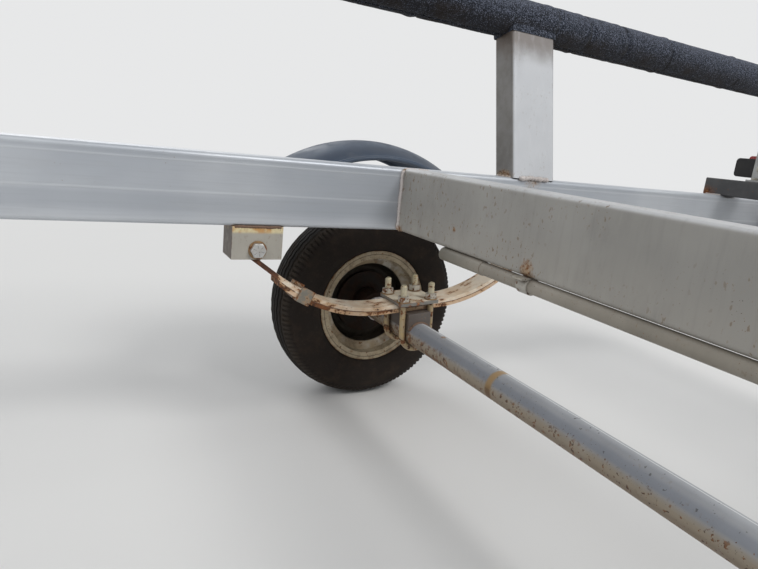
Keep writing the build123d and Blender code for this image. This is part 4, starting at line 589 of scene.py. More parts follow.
def bar_paint():
    """Dark grey paint on the light bar, rusted through at the cut ends."""
    f = Finish("bar_paint")
    tone = f.mix(f.patches(0.06, 0.38, 0.68), (0.052, 0.053, 0.056), (0.080, 0.080, 0.081))
    end = f.ramp(f.out + f.cloud(0.02, 4, 0.65) * 0.05, 0.592, 0.628)
    low = 1 - f.ramp(f.along("Z") + f.cloud(0.016, 4) * 0.02, RAIL_TOP + 0.014, RAIL_TOP + 0.036)
    chips = f.ramp(f.cloud(0.006, 4, 0.6) + f.edge(0.0020) * 0.10, 0.66, 0.71)
    rusty = (end * low) | chips
    tone = f.mix(rusty, tone, f.rust(0.008))
    height = f.cloud(0.0015) * 0.15 + f.cloud(0.02) * 0.2 - rusty * 0.3
    return f.coat(tone, 0.42 + rusty * 0.4, height, 0.0004, Specular_IOR_Level=0.4)


def black_moulding(name, tone, chalky, depth):
    """Black plastic or rubber, chalked grey by the sun."""
    f = Finish(name)
    chalk = f.patches(0.025, 0.42, 0.75, 5)
    scuff = f.patches(0.003, 0.62, 0.72, 3, 0.6, (1, 3, 1))
    tone = f.mix(scuff * 0.25, f.mix(chalk * 0.5, tone, chalky), tuple(1.3 * c for c in chalky))
    return f.coat(tone, 0.55 + chalk * 0.25, f.cloud(0.0012, 3), depth, rounding=0.0014,
                  Specular_IOR_Level=0.35)


def red_lens():
    """Moulded red lens, hazed in patches, with small optics behind its face."""
    f = Finish("red_lens")
    per_metre = 250
    across, up = f.along("Y") * per_metre, f.along("Z") * per_metre
    optics = abs(across.math("FRACT", across) - 0.5) + abs(up.math("FRACT", up) - 0.5)
    haze = f.patches(0.03, 0.4, 0.7, 3)
    tone = f.mix(haze * 0.5, (0.330, 0.010, 0.009), (0.460, 0.038, 0.030))
    return f.coat(tone, 0.16 + haze * 0.14, optics, 0.0008, rounding=0.002,
                  Coat_Weight=0.6, Coat_Roughness=0.08)


# Making meshes


class Stock:
    """Vertices and faces gathered for one piece."""

    def __init__(self):
        self.points, self.faces = [], []

    def skin(self, rings, capped=True, closed=False):
        """Joins rings of equal count, one after the other; capped fills the two ends."""
        count, first = len(rings[0]), len(self.points)
        for ring in rings:
            self.points.extend(ring)
        total = len(rings)
        for r in range(total if closed else total - 1):
            a, b = first + r * count, first + (r + 1) % total * count
            for k in range(count):
                n = (k + 1) % count
                self.faces.append((a + k, a + n, b + n, b + k))
        if capped:
            self.faces.append(tuple(first + k for k in reversed(range(count))))
            self.faces.append(tuple(first + (total - 1) * count + k for k in range(count)))

    def turned(self, origin, axis, profile, count=24, lead=0.0):
        """A lathe: profile rows are (radius, distance along the axis). A lead makes the rows a screw."""
        axis = Vector(axis).normalized()
        side = (Z if abs(axis.z) < 0.8 else X).cross(axis).normalized()
        other = axis.cross(side)
        rings = []
        for radius, at in profile:
            ring = []
            for k in range(count):
                a = 2 * math.pi * k / count
                spoke = side * math.cos(a) + other * math.sin(a)
                ring.append(Vector(origin) + axis * (at + lead * k / count) + spoke * radius)
            rings.append(ring)
        self.skin(rings)

    def bead(self, path, size, count=8, lumps=0.22, pitch=0.0042, fine=0.0016):
        """A weld bead along a path: overlapping ripples of uneven size."""
        path = [Vector(p) for p in path]
        spots, travelled = [], 0.0
        for a, b in zip(path, path[1:]):
            steps = max(1, round((b - a).length / fine))
            for i in range(steps):
                spots.append((a.lerp(b, i / steps), travelled + (b - a).length * i / steps))
            travelled += (b - a).length
        spots.append((path[-1], travelled))
        seed = rng.random() * 50
        rings = []
        for i, (spot, gone) in enumerate(spots):
            ahead = spots[min(i + 1, len(spots) - 1)][0] - spots[max(i - 1, 0)][0]
            ahead.normalize()
            side = ahead.orthogonal().normalized()
            other = ahead.cross(side)
            wobble = noise.noise(Vector((gone * 90, seed, 0)))
            ripple = abs(math.sin(math.pi * gone / pitch + wobble * 1.5))
            radius = size * (1 - lumps + lumps * ripple + 0.35 * lumps * wobble)
            end = min(gone, travelled - gone)
            radius *= math.sqrt(min(1.0, end / size + 0.12)) if end < size else 1.0
            centre = spot + (side * noise.noise(Vector((gone * 60, seed + 9, 0)))
                             + other * noise.noise(Vector((gone * 60, seed + 21, 0)))) * size * 0.35
            ring = []
            for k in range(count):
                a = 2 * math.pi * k / count
                grit = 1 + 0.12 * noise.noise(Vector((gone * 400, seed + k * 3.1, 5)))
                ring.append(centre + (side * math.cos(a) + other * math.sin(a)) * radius * grit)
            rings.append(ring)
        self.skin(rings)

    def hexagon(self, origin, axis, flat, height, washer=0.0):
        """A hexagon head or nut with turned-off corners, on a round washer if that has a thickness."""
        corner = flat / math.sqrt(3)
        if washer:
            rim, foot = flat * 0.72, flat * 0.70
            self.turned(origin, axis, ((foot, 0), (rim, 0.0003), (rim, washer - 0.0003), (foot, washer)))
        profile = ((corner * 0.95, washer), (corner, washer + 0.0006), (corner, washer + height * 0.78),
                   (corner * 0.88, washer + height * 0.97), (corner * 0.80, washer + height))
        self.turned(origin, axis, profile, 6)

    def thread(self, origin, axis, radius, length):
        """A screw thread's ridges round a stud."""
        pitch = 0.0015
        profile = [(radius * 0.9, 0)]
        for k in range(int(length / pitch)):
            profile += [(radius * 0.985, k * pitch), (radius * 1.06, (k + 0.5) * pitch)]
        profile += [(radius * 0.985, length), (radius * 0.80, length + 0.0012)]
        self.turned(origin, axis, profile, 18, lead=pitch)

    def piece(self, name, body, material, slot, angle=38):
        mesh = bpy.data.meshes.new(name)
        mesh.from_pydata([tuple(p) for p in self.points], [], self.faces)
        mesh.materials.append(material)
        mesh.validate()
        mesh.polygons.foreach_set("use_smooth", [True] * len(mesh.polygons))
        mesh.set_sharp_from_angle(angle=math.radians(angle))
        made = bpy.data.objects.new(name, mesh)
        bpy.context.scene.collection.objects.link(made)
        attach(made, body)
        return made


def rounded_loop(middle, across, up, width, height):
    """Points round a tube's outline, starting and ending at the middle of its top."""
    middle, across, up = Vector(middle), Vector(across), Vector(up)
    wide, tall = width / 2 - TUBE_CORNER, height / 2 - TUBE_CORNER
    points = [middle + up * (height / 2)]
    for sx, sy in ((1, 1), (1, -1), (-1, -1), (-1, 1)):
        for step in range(5):
            a = math.radians(22.5 * step)
            ca, sa = (math.sin(a), math.cos(a)) if sx * sy > 0 else (math.cos(a), math.sin(a))
            spot = across * sx * (wide + TUBE_CORNER * ca) + up * sy * (tall + TUBE_CORNER * sa)
            points.append(middle + spot)
    points.append(points[0])
    return points


# Finishes on the steel nodes

STRAP_Y = 0.244  # the conduit's straps
member_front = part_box("crossmember_axle")[1].x

rail_paint = rail_silver()
member_paint = aged_paint(
    "member_grey", (0.350, 0.340, 0.318), (0.290, 0.281, 0.262), 1.0, 0.42,
    [((member_front, STRAP_Y, RAIL_UNDER + 0.005), 0.013, (1, 0.9, 0.6)),
     ((member_front, 0.552, RAIL_UNDER + 0.002), 0.010, EVERY_WAY),
     ((member_front, 0.40, RAIL_UNDER + 0.030), 0.005, EVERY_WAY)], 0.20, 0.10, extra=painted_top_and_foot_light)
tongue_paint = aged_paint("tongue_silver", (0.520, 0.530, 0.540), (0.440, 0.445, 0.450), 0.35, 0.25,
                          [((DRAWBAR_FOOT, TONGUE_HALF, RAIL_TOP), 0.05, (0.5, 1, 1)),
                           ((MITRE_X, RAIL_Y, RAIL_TOP), 0.035, (1, 0.5, 1)),
                           ((WINCH_X, TONGUE_HALF, RAIL_TOP), 0.04, (0.5, 1, 1))], 0.3, 0.22)
post_paint = aged_paint("post_silver", (0.560, 0.576, 0.600), (0.505, 0.520, 0.545), 0.22, 0.10,
                        [((x + end * 0.0508, RAIL_Y, RAIL_TOP + 0.002), 0.014, (1, 0.5, 1))
                         for x in POSTS for end in (-1, 1)], 0.15, 0.22, extra=shaded_post_ends)
axle_paint = aged_paint("axle_silver", (0.330, 0.342, 0.362), (0.270, 0.280, 0.300), 0.30, 0.20,
                        [((AXLE.x, 0.536, AXLE.z - 0.006), 0.026, EVERY_WAY),
                         ((AXLE.x, 0.47, AXLE.z + 0.021), 0.007, EVERY_WAY)], 0.2, 0.2, extra=axle_zones)
conduit_paint = aged_paint("conduit_grey", (0.330, 0.300, 0.255), (0.265, 0.240, 0.200), 0.6, 0.3, (),
                           0.2, 0.05, 0.2, shaded_ends)
hanger_paint = aged_paint("hanger_cream", (0.420, 0.398, 0.352), (0.360, 0.340, 0.298), 0.30, 0.25,
                          [((EYE_BOLT.x, RAIL_Y - HANGER_FACE, EYE_BOLT.z), 0.0165, (1, 0.5, 1)),
                           ((EYE_BOLT.x, RAIL_Y + HANGER_FACE, EYE_BOLT.z), 0.0165, (1, 0.5, 1)),
                           ((KEEPER_BOLT.x, RAIL_Y - HANGER_FACE, KEEPER_BOLT.z), 0.018, (1, 0.5, 0.7))],
                          0.45, 0.06, extra=hanger_zones)
saddle_paint = aged_paint("saddle_brown", (0.125, 0.108, 0.098), (0.088, 0.070, 0.060), 0.9, 0.4,
                          [((AXLE.x - 0.022, RAIL_Y, AXLE.z - 0.004), 0.026, (1, 0.5, 1))], 0.4, 0.04)
weld_paint = aged_paint("weld_grey", (0.600, 0.560, 0.540), (0.520, 0.470, 0.450), 0.3, 0.3,
                        [((member_front, RAIL_INSIDE, RAIL_UNDER), 0.010, (0, 0, 1)),
                         ((member_front, RAIL_INSIDE, RAIL_TOP), 0.005, (1, 0.2, 1))]
                        + [((x + end * 0.046, RAIL_Y, RAIL_TOP), 0.013, (1, 0.3, 1))
                           for x in POSTS for end in (-1, 1)], 0.15, 0.08, 0.15)
rusty_weld = aged_paint("rusty_weld", (0.170, 0.095, 0.058), (0.105, 0.055, 0.034), 1.2, 0.4, (),
                        1.2, 0.0, 0.8)

zinc = plated_zinc("dull_zinc", (0.470, 0.455, 0.400), -0.30, 0.65, 0.30)
bolt_zinc = plated_zinc("bolt_silver", (0.640, 0.640, 0.630), 0.06, 0.7, 0.12, head_marks)
brown_zinc = plated_zinc("bronze_washer", (0.270, 0.165, 0.080), 0.30, 0.35, 0.4)
u_bolt_zinc = plated_zinc("u_bolt_tan", (0.400, 0.310, 0.190), 0.38, 0.2, 0.50, grey_nuts)
thread_zinc = plated_zinc("thread_yellow", (0.520, 0.470, 0.320), 0.16, 0.3, 0.40)
strap_zinc = plated_zinc("strap_grey", (0.440, 0.420, 0.375), 0.24, 0.15, 0.15)
bright_zinc = plated_zinc("bright_zinc", (0.420, 0.428, 0.424), -0.20, 0.5, 0.10)
lens_finish = red_lens()
rubber = black_moulding("soft_rubber", (0.022, 0.021, 0.020), (0.105, 0.096, 0.086), 0.0003)

FINISHES = (
    ("side_rail", rail_paint), ("drawbar", tongue_paint), ("tongue_beam", tongue_paint),
    ("crossmember", member_paint), ("conduit_straps", strap_zinc), ("conduit", conduit_paint),
    ("axle_tube", axle_paint), ("spindles", bright_zinc), ("spring_seats", saddle_paint),
    ("spring_hangers", hanger_paint), ("leaf_spring", leaf_paint()),
    ("rebound_clips", rusty_cream("clip_grey", (0.255, 0.238, 0.200), 0.08, 0.012)),
    # The tie plates' side faces get painted shade.
    ("tie_plates", rusty_cream("plate_cream", (0.660, 0.590, 0.470), 0.0, 0.018, painted_shade_on_sides)),
    ("u_bolts", u_bolt_zinc), ("hanger_bolts", bolt_zinc), ("eye_bushes", rubber), ("bunk_post", post_paint),
    ("bunk_tube", post_paint), ("fender_stays", tongue_paint), ("fender", fender_paint()),
    ("light_bar", bar_paint()),
    ("tail_lamps", black_moulding("lamp_plastic", (0.016, 0.016, 0.017), (0.060, 0.058, 0.056), 0.00015)),
    ("tail_lenses", lens_finish), ("lamp_brackets", bright_zinc), ("keel_roller_bracket", zinc),
    ("keel_roller", rubber),
    ("coupler", plated_zinc("coupler_zinc", (0.450, 0.445, 0.415), -0.10, 0.55, 0.2)),
    ("winch_post", tongue_paint), ("winch", bright_zinc), ("bow_stop_bracket", tongue_paint),
    ("bow_stop", rubber),
    ("jack", bright_zinc), ("hub", greasy_iron()), ("rim", wheel_cream()),
)
for name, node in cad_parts.items():
    for start, material in FINISHES:
        if name.startswith(start):
            node.data.materials.clear()
            node.data.materials.append(material)
            break

# Tyres

NOTCHES, PER_NOTCH = 120, 5
LUMP, BEAD_EDGE = 0.35, 120  # mm: how uneven the rubber is, and the radius within which it is smooth
# The tyre's outline on one side of its middle, in mm. A tread row is across, radius, groove depth,
# zigzag and notch depth. A wall row is across and radius.
TREAD = (
    (3.6, 195.0, 0, 1.5, 0), (4.6, 194.9, 5, 1.5, 0), (6.6, 194.8, 5, 1.5, 0), (7.6, 194.7, 0, 1.5, 0),
    (14.5, 194.0, 0, 1.5, 0), (15.5, 193.8, 5, 1.5, 0), (18.0, 193.5, 5, 1.5, 0), (19.0, 193.3, 0, 1.5, 0),
    (26.0, 191.6, 0, 1.5, 0), (27.0, 191.3, 4.6, 1.5, 0), (29.5, 190.6, 4.6, 1.5, 0),
    (30.5, 190.2, 0, 1.0, 0), (33.0, 189.4, 0, 0.3, 0), (34.0, 189.0, 0, 0, 3.2), (38.0, 187.4, 0, 0, 3.4),
    (41.0, 186.0, 0, 0, 3.4), (43.5, 184.2, 0, 0, 3.0), (46.2, 181.4, 0, 0, 2.6), (48.4, 178.2, 0, 0, 2.0),
    (49.6, 176.0, 0, 0, 1.2),
)
WALL = (
    (50.2, 174.8), (51.6, 173.4), (53.6, 168.6), (55.8, 161.0), (57.3, 153.0), (57.9, 145.0), (57.4, 137.4),
    (57.6, 136.0), (57.0, 134.4), (55.9, 130.0), (53.4, 124.0), (50.0, 119.0), (48.6, 117.6), (47.4, 117.2),
    (45.6, 115.2), (44.3, 113.6), (44.2, 104.0), (42.0, 102.0), (31.0, 102.2), (34.0, 112.0), (46.0, 132.0),
    (49.0, 150.0), (36.0, 178.0),
)
half = [*TREAD, *((across, radius, 0, 0, 0) for across, radius in WALL)]
columns = [(-across, *rest) for across, *rest in reversed(half)] + half
# The valve's profile: radius, distance along the axis
VALVE = ((0.0062, 0), (0.0062, 0.003), (0.0044, 0.005), (0.0036, 0.022), (0.0042, 0.0225),
         (0.0042, 0.0305), (0.0032, 0.0315))


def tyre_ring(i, s):
    """The tyre's outline at the i-th step round the wheel."""
    turn = 2 * math.pi * i / (NOTCHES * PER_NOTCH)
    zig = abs((i % (2 * PER_NOTCH)) / PER_NOTCH - 1) - 0.5
    ring = []
    for across, radius, groove, sway, notch in columns:
        outward, shifted = (1, i) if across > 0 else (-1, i + 2)
        cut = notch if notch and shifted % PER_NOTCH >= 3 else groove
        lump = LUMP * noise.noise(Vector((across * 0.05, math.cos(turn) * 3, math.sin(turn) * 3 + s)))
        r = (radius - cut + (lump - LUMP if radius > BEAD_EDGE else 0)) / 1000
        y = (across + sway * 2 * zig * outward) / 1000
        ring.append((AXLE.x + r * math.cos(turn), s * WHEEL_Y + y, AXLE.z + r * math.sin(turn)))
    return ring if s > 0 else ring[::-1]


tyre_finish = tyre_rubber()
for side, s in SIDES:
    tyre = Stock()
    tyre.skin([tyre_ring(i, s) for i in range(NOTCHES * PER_NOTCH)], capped=False, closed=True)
    made = tyre.piece(f"tyre_tread_{side}", f"wheel_{side}", tyre_finish, "tyre_rubber", 32)
    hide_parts(f"tyre_{side}")
    valve = Stock()
    root, lean = Vector((AXLE.x + 0.0935, s * (WHEEL_Y + 0.022), AXLE.z)), Vector((-0.22, s, 0))
    valve.turned(root, lean, VALVE, 20)
    valve.piece(f"valve_stem_{side}", f"wheel_{side}", rubber, "tyre_rubber")

# Carpet on the bunks

BUNK_START, BUNK_END = AXLE.x - 1.050, AXLE.x + 1.140
SADDLE_HALF = 0.0518  # half the length over which a post carries the tube
RING_PITCH, ROUND, LINING_ROUND = 0.0042, 64, 24  # rings along the carpet and points round them
CARPET, LINING = 0.0356, 0.0311  # outer and inner radius
FLAP, FLAP_LINING = 0.0272, 0.0256  # how far out the flaps over a post's head hang
END_INSET = 0.001  # of the first and last ring


def carpet_ring(x, s):
    """The carpet's outline across a bunk at x: round its face, then back along its lining."""
    at_post = any(abs(x - post) < SADDLE_HALF for post in POSTS)
    gap = math.radians(37.5 if at_post else 2.6 + noise.noise(Vector((x * 30, s, 0))))
    near = [(n, crease) for n, crease in enumerate(CREASES) if abs(x - crease) < 0.04]
    outline = []
    for k in range(ROUND + 1):
        a = gap + (2 * math.pi - 2 * gap) * k / ROUND
        ca, sa = math.cos(a), math.sin(a)
        radius = CARPET + 0.0006 * noise.noise(Vector((x * 24, ca * 2, sa * 2 + 5 * s)))
        radius += 0.00035 * noise.noise(Vector((x * 330, ca * 11, sa * 11 + 5 * s)))
        for n, crease in near:
            lean = crease + 0.006 * math.sin(a * 2 + n)
            pinch = 0.0042 * math.exp(-((x - lean) / 0.0045) ** 2)
            swell = 0.0016 * math.exp(-((x - lean - 0.013) / 0.007) ** 2)
            radius -= (pinch - swell) * (0.6 - 0.4 * math.cos(a * 2 + 0.4 * n))
        if at_post and ca > 0:
            radius = max(radius, FLAP / abs(sa))
        tail = min(x - BUNK_START, BUNK_END - x)
        radius -= 0.0035 * max(0.0, 1 - tail / 0.006) ** 2
        radius -= 0.0016 if k in (0, ROUND) else 0.0
        outline.append((a, radius))
    for k in range(LINING_ROUND, -1, -1):
        a = gap + (2 * math.pi - 2 * gap) * k / LINING_ROUND
        hanging = at_post and math.cos(a) > 0
        outline.append((a, max(LINING, FLAP_LINING / abs(math.sin(a))) if hanging else LINING))
    down = Vector((0, -s * math.sin(FLARE), -math.cos(FLARE)))
    across = Vector((0, s * math.cos(FLARE), -math.sin(FLARE)))
    middle = Vector((x, s * BUNK_Y, BUNK_Z))
    ring = [middle + (down * math.cos(a) + across * math.sin(a)) * radius for a, radius in outline]
    return ring if s > 0 else ring[::-1]


carpet_finish = bunk_carpet()
ring_count = int((BUNK_END - BUNK_START - 2 * END_INSET) / RING_PITCH) + 1
places = [BUNK_START + END_INSET + RING_PITCH * k for k in range(ring_count)]
places += [post + way * SADDLE_HALF + step for post in POSTS for way in (-1, 1) for step in (-0.0004, 0.0004)]
places = sorted(x for x in places if BUNK_START < x < BUNK_END)
for side, s in SIDES:
    wrap = Stock()
    wrap.skin([carpet_ring(x, s) for x in places])
    carpet = wrap.piece(f"carpet_wrap_{side}", "root", carpet_finish, "carpet", 60)
    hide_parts(f"bunk_carpet_{side}")

# Weld beads

POST_HALF = 0.0508  # half a bunk post's length along the rail
POST_SIDES = (-0.0261, 0.0254)  # the beads beside a post, from the rail's middle
MITRE = (0.0170, 0.0508)  # a mitre joint's run along and across a rail
DRAWBAR_FOOT_LENGTH, DRAWBAR_FOOT_Y = 0.0844, 0.0384  # of the cut face on the tongue
HANGERS = ((AXLE.x + 0.257, AXLE.x + 0.3335), (AXLE.x - 0.341, AXLE.x - 0.249))  # each one's x span
HANGER_WALL = 0.0248  # from a rail's middle to the middle of a hanger's wall
SEAT_HALF = 0.0402  # half a spring seat's length along the axle
AXLE_RADIUS, AXLE_END = 0.0222, 0.7030  # the axle tube, and where its spindle is welded on
STAY_TURN = 44  # degrees from upright to a fender stay
STAY_ROOT = (0.28658, 0.6098)  # distance from the fender's centre, and y, of a stay's end on the rail
FENDER_UNDER, LIP = 0.2902, 0.0782  # the skin's inner radius, and a lip's distance from its middle


def cross_bead(stock, x, s, inner, outer, z, size):
    """A straight bead across a rail, so far to the inner and the outer side of its middle."""
    stock.bead([(x, s * (RAIL_Y - inner), z), (x, s * (RAIL_Y + outer), z)], size)


def long_bead(stock, start, end, y, z, size, *ripples):
    """A straight bead along the trailer."""
    stock.bead([(start, y, z), (end, y, z)], size, *ripples)


welds, hanger_welds = Stock(), Stock()
for name in ("crossmember_rear", "crossmember_axle", "crossmember_front"):
    low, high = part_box(name)
    for s in (-1, 1):
        middle = ((low.x + high.x) / 2, s * (high.y - 0.0012), RAIL_MIDDLE)
        outline = rounded_loop(middle, X, Z, high.x - low.x + 0.0016, high.z - low.z - 0.003)
        welds.bead(outline, 0.0036, 9, 0.30)
tongue_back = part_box("tongue_beam")[0].x
welds.bead(rounded_loop((tongue_back + 0.0006, 0, RAIL_MIDDLE), Y, Z, 0.0772, 0.0990), 0.0028)
for side, s in SIDES:
    for x in POSTS:
        for beside in POST_SIDES:
            y = s * (RAIL_Y + beside)
            ragged = [(x + 0.036 - 0.072 * t / 12, y + s * rng.uniform(-0.0007, 0.0007), RAIL_TOP + 0.001)
                      for t in range(13)]
            welds.bead(ragged, 0.0046, 9, 0.55, 0.0070)
        for end in (-1, 1):
            cross_bead(welds, x + end * POST_HALF, s, 0.020, 0.019, RAIL_TOP, 0.0034)
    # Rail to drawbar: the mitre between the two tubes, then the drawbar's foot on the tongue
    mitre = Vector((MITRE[0], s * MITRE[1], 0))
    joint = (MITRE_X, s * RAIL_Y, RAIL_MIDDLE)
    welds.bead(rounded_loop(joint, mitre.normalized(), Z, mitre.length + 0.0006, 0.1018), 0.0022)
    foot_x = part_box(f"drawbar_{side}")[1].x - DRAWBAR_FOOT_LENGTH / 2
    foot = (foot_x, s * DRAWBAR_FOOT_Y, RAIL_MIDDLE)
    welds.bead(rounded_loop(foot, X, Z, DRAWBAR_FOOT_LENGTH, 0.1006), 0.0030)
    for start, end in HANGERS:
        for y in (RAIL_Y - HANGER_WALL, RAIL_Y + HANGER_WALL):
            long_bead(hanger_welds, start + 0.002, end - 0.002, s * y, RAIL_UNDER - 0.0008, 0.0027, 8, 0.35)
        for x in (start, end):
            cross_bead(hanger_welds, x, s, 0.022, 0.022, RAIL_UNDER, 0.0020)
    for end in (-1, 1):
        y = s * RAIL_Y + end * SEAT_HALF
        arc = [(AXLE.x + AXLE_RADIUS * math.cos(a), y, AXLE.z + AXLE_RADIUS * math.sin(a))
               for a in (math.radians(22 + 136 * k / 16) for k in range(17))]
        hanger_welds.bead(arc, 0.0030)
    radius = AXLE_RADIUS + 0.0002
    ring = [(AXLE.x + radius * math.cos(a), s * AXLE_END, AXLE.z + radius * math.sin(a))
            for a in (math.radians(10 * k) for k in range(37))]
    welds.bead(ring, 0.0022)
    for end in (-1, 1):
        a = math.radians(end * STAY_TURN)
        along, square = Vector((math.cos(a), 0, -math.sin(a))), Vector((math.sin(a), 0, math.cos(a)))
        hub = Vector((FENDER_X, 0, AXLE.z))
        root = hub + square * STAY_ROOT[0] + Y * s * STAY_ROOT[1]
        for face in (-1, 1):
            lift = square * 0.003 * face
            welds.bead([root - along * 0.017 + lift, root + along * 0.017 + lift], 0.0027)
            lip = hub + square * FENDER_UNDER + Y * s * (WHEEL_Y + face * LIP)
            for edge in (-0.0045, 0.0045):
                welds.bead([lip - along * 0.012 + Y * edge, lip + along * 0.012 + Y * edge], 0.0018)
    low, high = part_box("light_bar")
    for x in (low.x, high.x):
        cross_bead(welds, x, s, 0.019, 0.019, RAIL_TOP, 0.0028)
    low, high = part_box("keel_roller_bracket")
    for y in (0.0775, 0.0845):
        long_bead(welds, low.x + 0.003, high.x - 0.003, s * y, RAIL_TOP + 0.0006, 0.0024)
for s in (-1, 1):
    long_bead(welds, WINCH_X - 0.064, WINCH_X + 0.064, s * TONGUE_HALF, RAIL_TOP + 0.0005, 0.0034)
post_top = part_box("winch_post")[1].z
for z, size in ((RAIL_TOP + 0.0082, 0.0032), (post_top - 0.0082, 0.0030)):
    welds.bead(rounded_loop((WINCH_X, 0, z), X, Y, 0.0606, 0.0606), size)
welds.piece("frame_welds", "root", weld_paint, "frame_paint", 50)
hanger_welds.piece("hanger_welds", "root", rusty_weld, "frame_paint", 50)

# Rust that creeps out between the two leaves of each spring


def seam(run):
    """A place on the line between the leaves, at a run ahead of the axle along it."""
    flat, way, centre = (FLAT_AHEAD, 1, BEND_AHEAD) if run > 0 else (FLAT_BEHIND, -1, BEND_BEHIND)
    if abs(run) <= flat:
        return LEAF_MIDDLE + CLAMP_ALONG * run - CLAMP_UP * SEAM_DROP
    radius = BEND + SEAM_DROP
    turn = (abs(run) - flat) / radius
    bent = min(turn, TURN_BEHIND) if way < 0 else turn
    place = centre + (CLAMP_ALONG * way * math.sin(bent) - CLAMP_UP * math.cos(bent)) * radius
    return place + (CLAMP_ALONG * way * math.cos(bent) + CLAMP_UP * math.sin(bent)) * (turn - bent) * radius


crust = Stock()
for side, s in SIDES:
    for face in (-1, 1):
        for start, end in ((-0.245, -0.052), (-0.022, 0.020), (0.046, 0.205), (0.233, 0.262)):
            count = int((end - start) / 0.006)
            beside = Y * (s * RAIL_Y + face * 0.0220)
            path = [seam(start + (end - start) * k / count) + beside for k in range(count + 1)]
            crust.bead(path, 0.0010, 6, 0.65, 0.0031, 0.0014)
crust.piece("leaf_rust", "root", rusty_weld, "spring_steel", 50)

# Fasteners

# Profiles of round parts: radius, distance along the axis
CLAMP_WASHER = ((0.0100, 0), (0.0118, 0.0002), (0.0118, 0.0015), (0.0112, 0.0018))
BOLT_WASHER = ((0.0132, 0), (0.0140, 0.0003), (0.0140, 0.0010), (0.0134, 0.0013))
SCREW_HEAD = ((0.0040, 0), (0.0040, 0.0006), (0.0030, 0.0016), (0.0010, 0.0019))
LENS_RIB = ((0.0006, 0), (0.0016, 0.002), (0.0016, 0.114), (0.0006, 0.116))
LEG_X, LEG_Y = 0.0280, 0.0285  # the U-bolts' legs, from the axle's and the rail's middle
COUPLER_BOLT_Z, BOW_STOP_Z, WINCH_PLATE_Z = 0.452, 0.930, 1.0430
COUPLER_BOLTS_X, BOW_STOP_BOLTS_X = (2.068, 2.128), (1.020, 1.050, 0.938)
JACK_X, JACK_HALF, JACK_RISE = 1.665, 0.041, 0.0578  # the jack mount's four bolts, from its middle
WINCH_BOLT_X, WINCH_HALF = 1.019, 0.036
LAMP_Y, LAMP_PLATE, LENS_FACE, LIGHT_BAR_TOP = 0.4856, -2.0574, -2.1190, RAIL_TOP + 0.0381
LAMP_STUD_Z, LENS_SCREW_Z = 0.5480, 0.5521
BRACKET_BOLT_X = -2.0470  # of the lamp brackets' bolts through the light bar
RIB_Z, RIB_PITCH = 0.5345, 0.0088  # the lowest rib on a lens, and from rib to rib
washers, threads, nuts = Stock(), Stock(), Stock()
for side, s in SIDES:
    for dx in (-LEG_X, LEG_X):
        for dy in (-LEG_Y, LEG_Y):
            foot = AXLE + CLAMP_ALONG * dx + Y * (s * RAIL_Y + dy) + CLAMP_UP * NUT_FOOT
            washers.turned(foot, CLAMP_UP, CLAMP_WASHER, 28)
            threads.thread(foot + CLAMP_UP * 0.0102, CLAMP_UP, 0.0055, 0.0172)
    for bolt in (EYE_BOLT, KEEPER_BOLT):
        for face in (-1, 1):
            at = bolt + Y * (s * RAIL_Y + face * 0.0258)
            washers.turned(at, Y * face, BOLT_WASHER, 30)
for way in (1, -1):
    for x in COUPLER_BOLTS_X:
        nuts.hexagon((x, way * 0.0423, COUPLER_BOLT_Z), Y * way, 0.0160, 0.0068, 0.0016)
for dx in (-JACK_HALF, JACK_HALF):
    for dz in (-JACK_RISE, JACK_RISE):
        for way in (-1, 1):
            nuts.hexagon((JACK_X + dx, way * 0.0441, RAIL_MIDDLE + dz), Y * way, 0.0150, 0.0070)
for way in (-1, 1):
    for x in BOW_STOP_BOLTS_X:
        nuts.hexagon((x, way * 0.0350, BOW_STOP_Z), Y * way, 0.0160, 0.0065, 0.0014)
    for dx in (-WINCH_HALF, WINCH_HALF):
        nuts.hexagon((WINCH_BOLT_X + dx, way * 0.020, WINCH_PLATE_Z), Z, 0.0130, 0.0050, 0.0012)
screws = Stock()
for side, s in SIDES:
    for dy in (-0.022, 0.022):
        y = s * LAMP_Y + dy
        nuts.hexagon((BRACKET_BOLT_X, y, LIGHT_BAR_TOP + 0.004), Z, 0.0095, 0.0038, 0.0010)
        nuts.hexagon((LAMP_PLATE, y, LAMP_STUD_Z), X, 0.0095, 0.0040, 0.0010)
    for dy in (-0.068, 0.068):
        screws.turned((LENS_FACE, s * LAMP_Y + dy, LENS_SCREW_Z), -X, SCREW_HEAD, 20)
washers.piece("clamp_washers", "root", brown_zinc, "zinc")
threads.piece("u_bolt_threads", "root", thread_zinc, "zinc", 30)
nuts.piece("fitting_nuts", "root", zinc, "zinc")
screws.piece("lens_screws", "root", bright_zinc, "zinc")
ribs = Stock()
for side, s in SIDES:
    for k in range(5):
        root = (LENS_FACE + 0.0004, s * LAMP_Y - 0.058, RIB_Z + RIB_PITCH * k)
        ribs.turned(root, Y, LENS_RIB, 10)
ribs.piece("lens_ribs", "root", lens_finish, "red_lens")

# Stage, light and camera

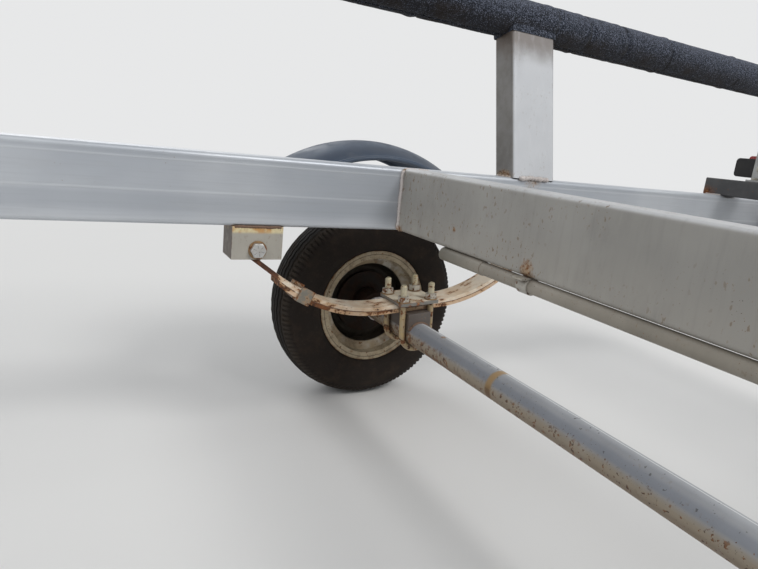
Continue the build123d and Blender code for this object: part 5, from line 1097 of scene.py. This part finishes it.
BACKDROP = (0.80, 0.805, 0.81)
world = bpy.data.worlds.new("studio")
bpy.context.scene.world = world
world.use_nodes = True
sky = Shader(world.node_tree)
fill = sky.node("ShaderNodeBackground", {}, {"Color": (0.97, 0.985, 1.0), "Strength": 0.55})
backdrop = sky.node("ShaderNodeBackground", {}, {"Color": BACKDROP, "Strength": 1.0})
both = sky.node("ShaderNodeMixShader", {}, {0: sky.looked_at(), 1: fill, 2: backdrop})
sky.show(both, "ShaderNodeOutputWorld")

floor_mesh = bpy.data.meshes.new("studio_floor")
floor_mesh.from_pydata([(-40, -40, 0), (40, -40, 0), (40, 40, 0), (-40, 40, 0)], [], [(0, 1, 2, 3)])
floor = bpy.data.objects.new("studio_floor", floor_mesh)
bpy.context.scene.collection.objects.link(floor)
ground = Finish("studio_floor")
far = ground.ramp(ground.distance((0, 0, 0)), 2.8, 8.5) * ground.looked_at()
matt = ground.node("ShaderNodeBsdfDiffuse", {}, {"Color": (0.74, 0.74, 0.735)})
haze = ground.node("ShaderNodeEmission", {}, {"Color": BACKDROP, "Strength": 1.0})
ground.show(ground.node("ShaderNodeMixShader", {}, {0: far, 1: matt, 2: haze}))
floor_mesh.materials.append(ground.material)


def softbox(name, at, aim, size, power, colour=(1, 1, 1)):
    lamp = bpy.data.lights.new(name, "AREA")
    lamp.shape, lamp.size, lamp.energy, lamp.color = "DISK", size, power, colour
    lit = bpy.data.objects.new(name, lamp)
    bpy.context.scene.collection.objects.link(lit)
    lit.location = at
    lit.rotation_euler = (Vector(aim) - Vector(at)).to_track_quat("-Z", "Y").to_euler()


softbox("key", (-4.2, 4.6, 6.4), (-0.8, 0, 0.3), 3.2, 290, (1.0, 0.985, 0.96))
softbox("front", (4.5, 2.5, 5.0), (0.6, 0, 0.3), 3.6, 85)
softbox("far_side", (-0.5, -6.0, 4.2), (-0.3, 0, 0.4), 4.0, 95)

FOCAL_PIXELS, PICTURE_WIDTH = 576.08, 758  # of the camera solved from the frame's parallel edges
camera = bpy.data.objects.new("camera", bpy.data.cameras.new("camera"))
bpy.context.scene.collection.objects.link(camera)
camera.data.sensor_width, camera.data.lens = 36.0, 36.0 * FOCAL_PIXELS / PICTURE_WIDTH
camera.data.clip_start = 0.02
camera.location = (-0.683, 0.2642, 0.516)
camera.rotation_euler = [math.radians(turn) for turn in (76.18376, -5.95947, 152.30652)]
bpy.context.scene.camera = camera
bpy.context.scene.view_settings.view_transform = "Standard"
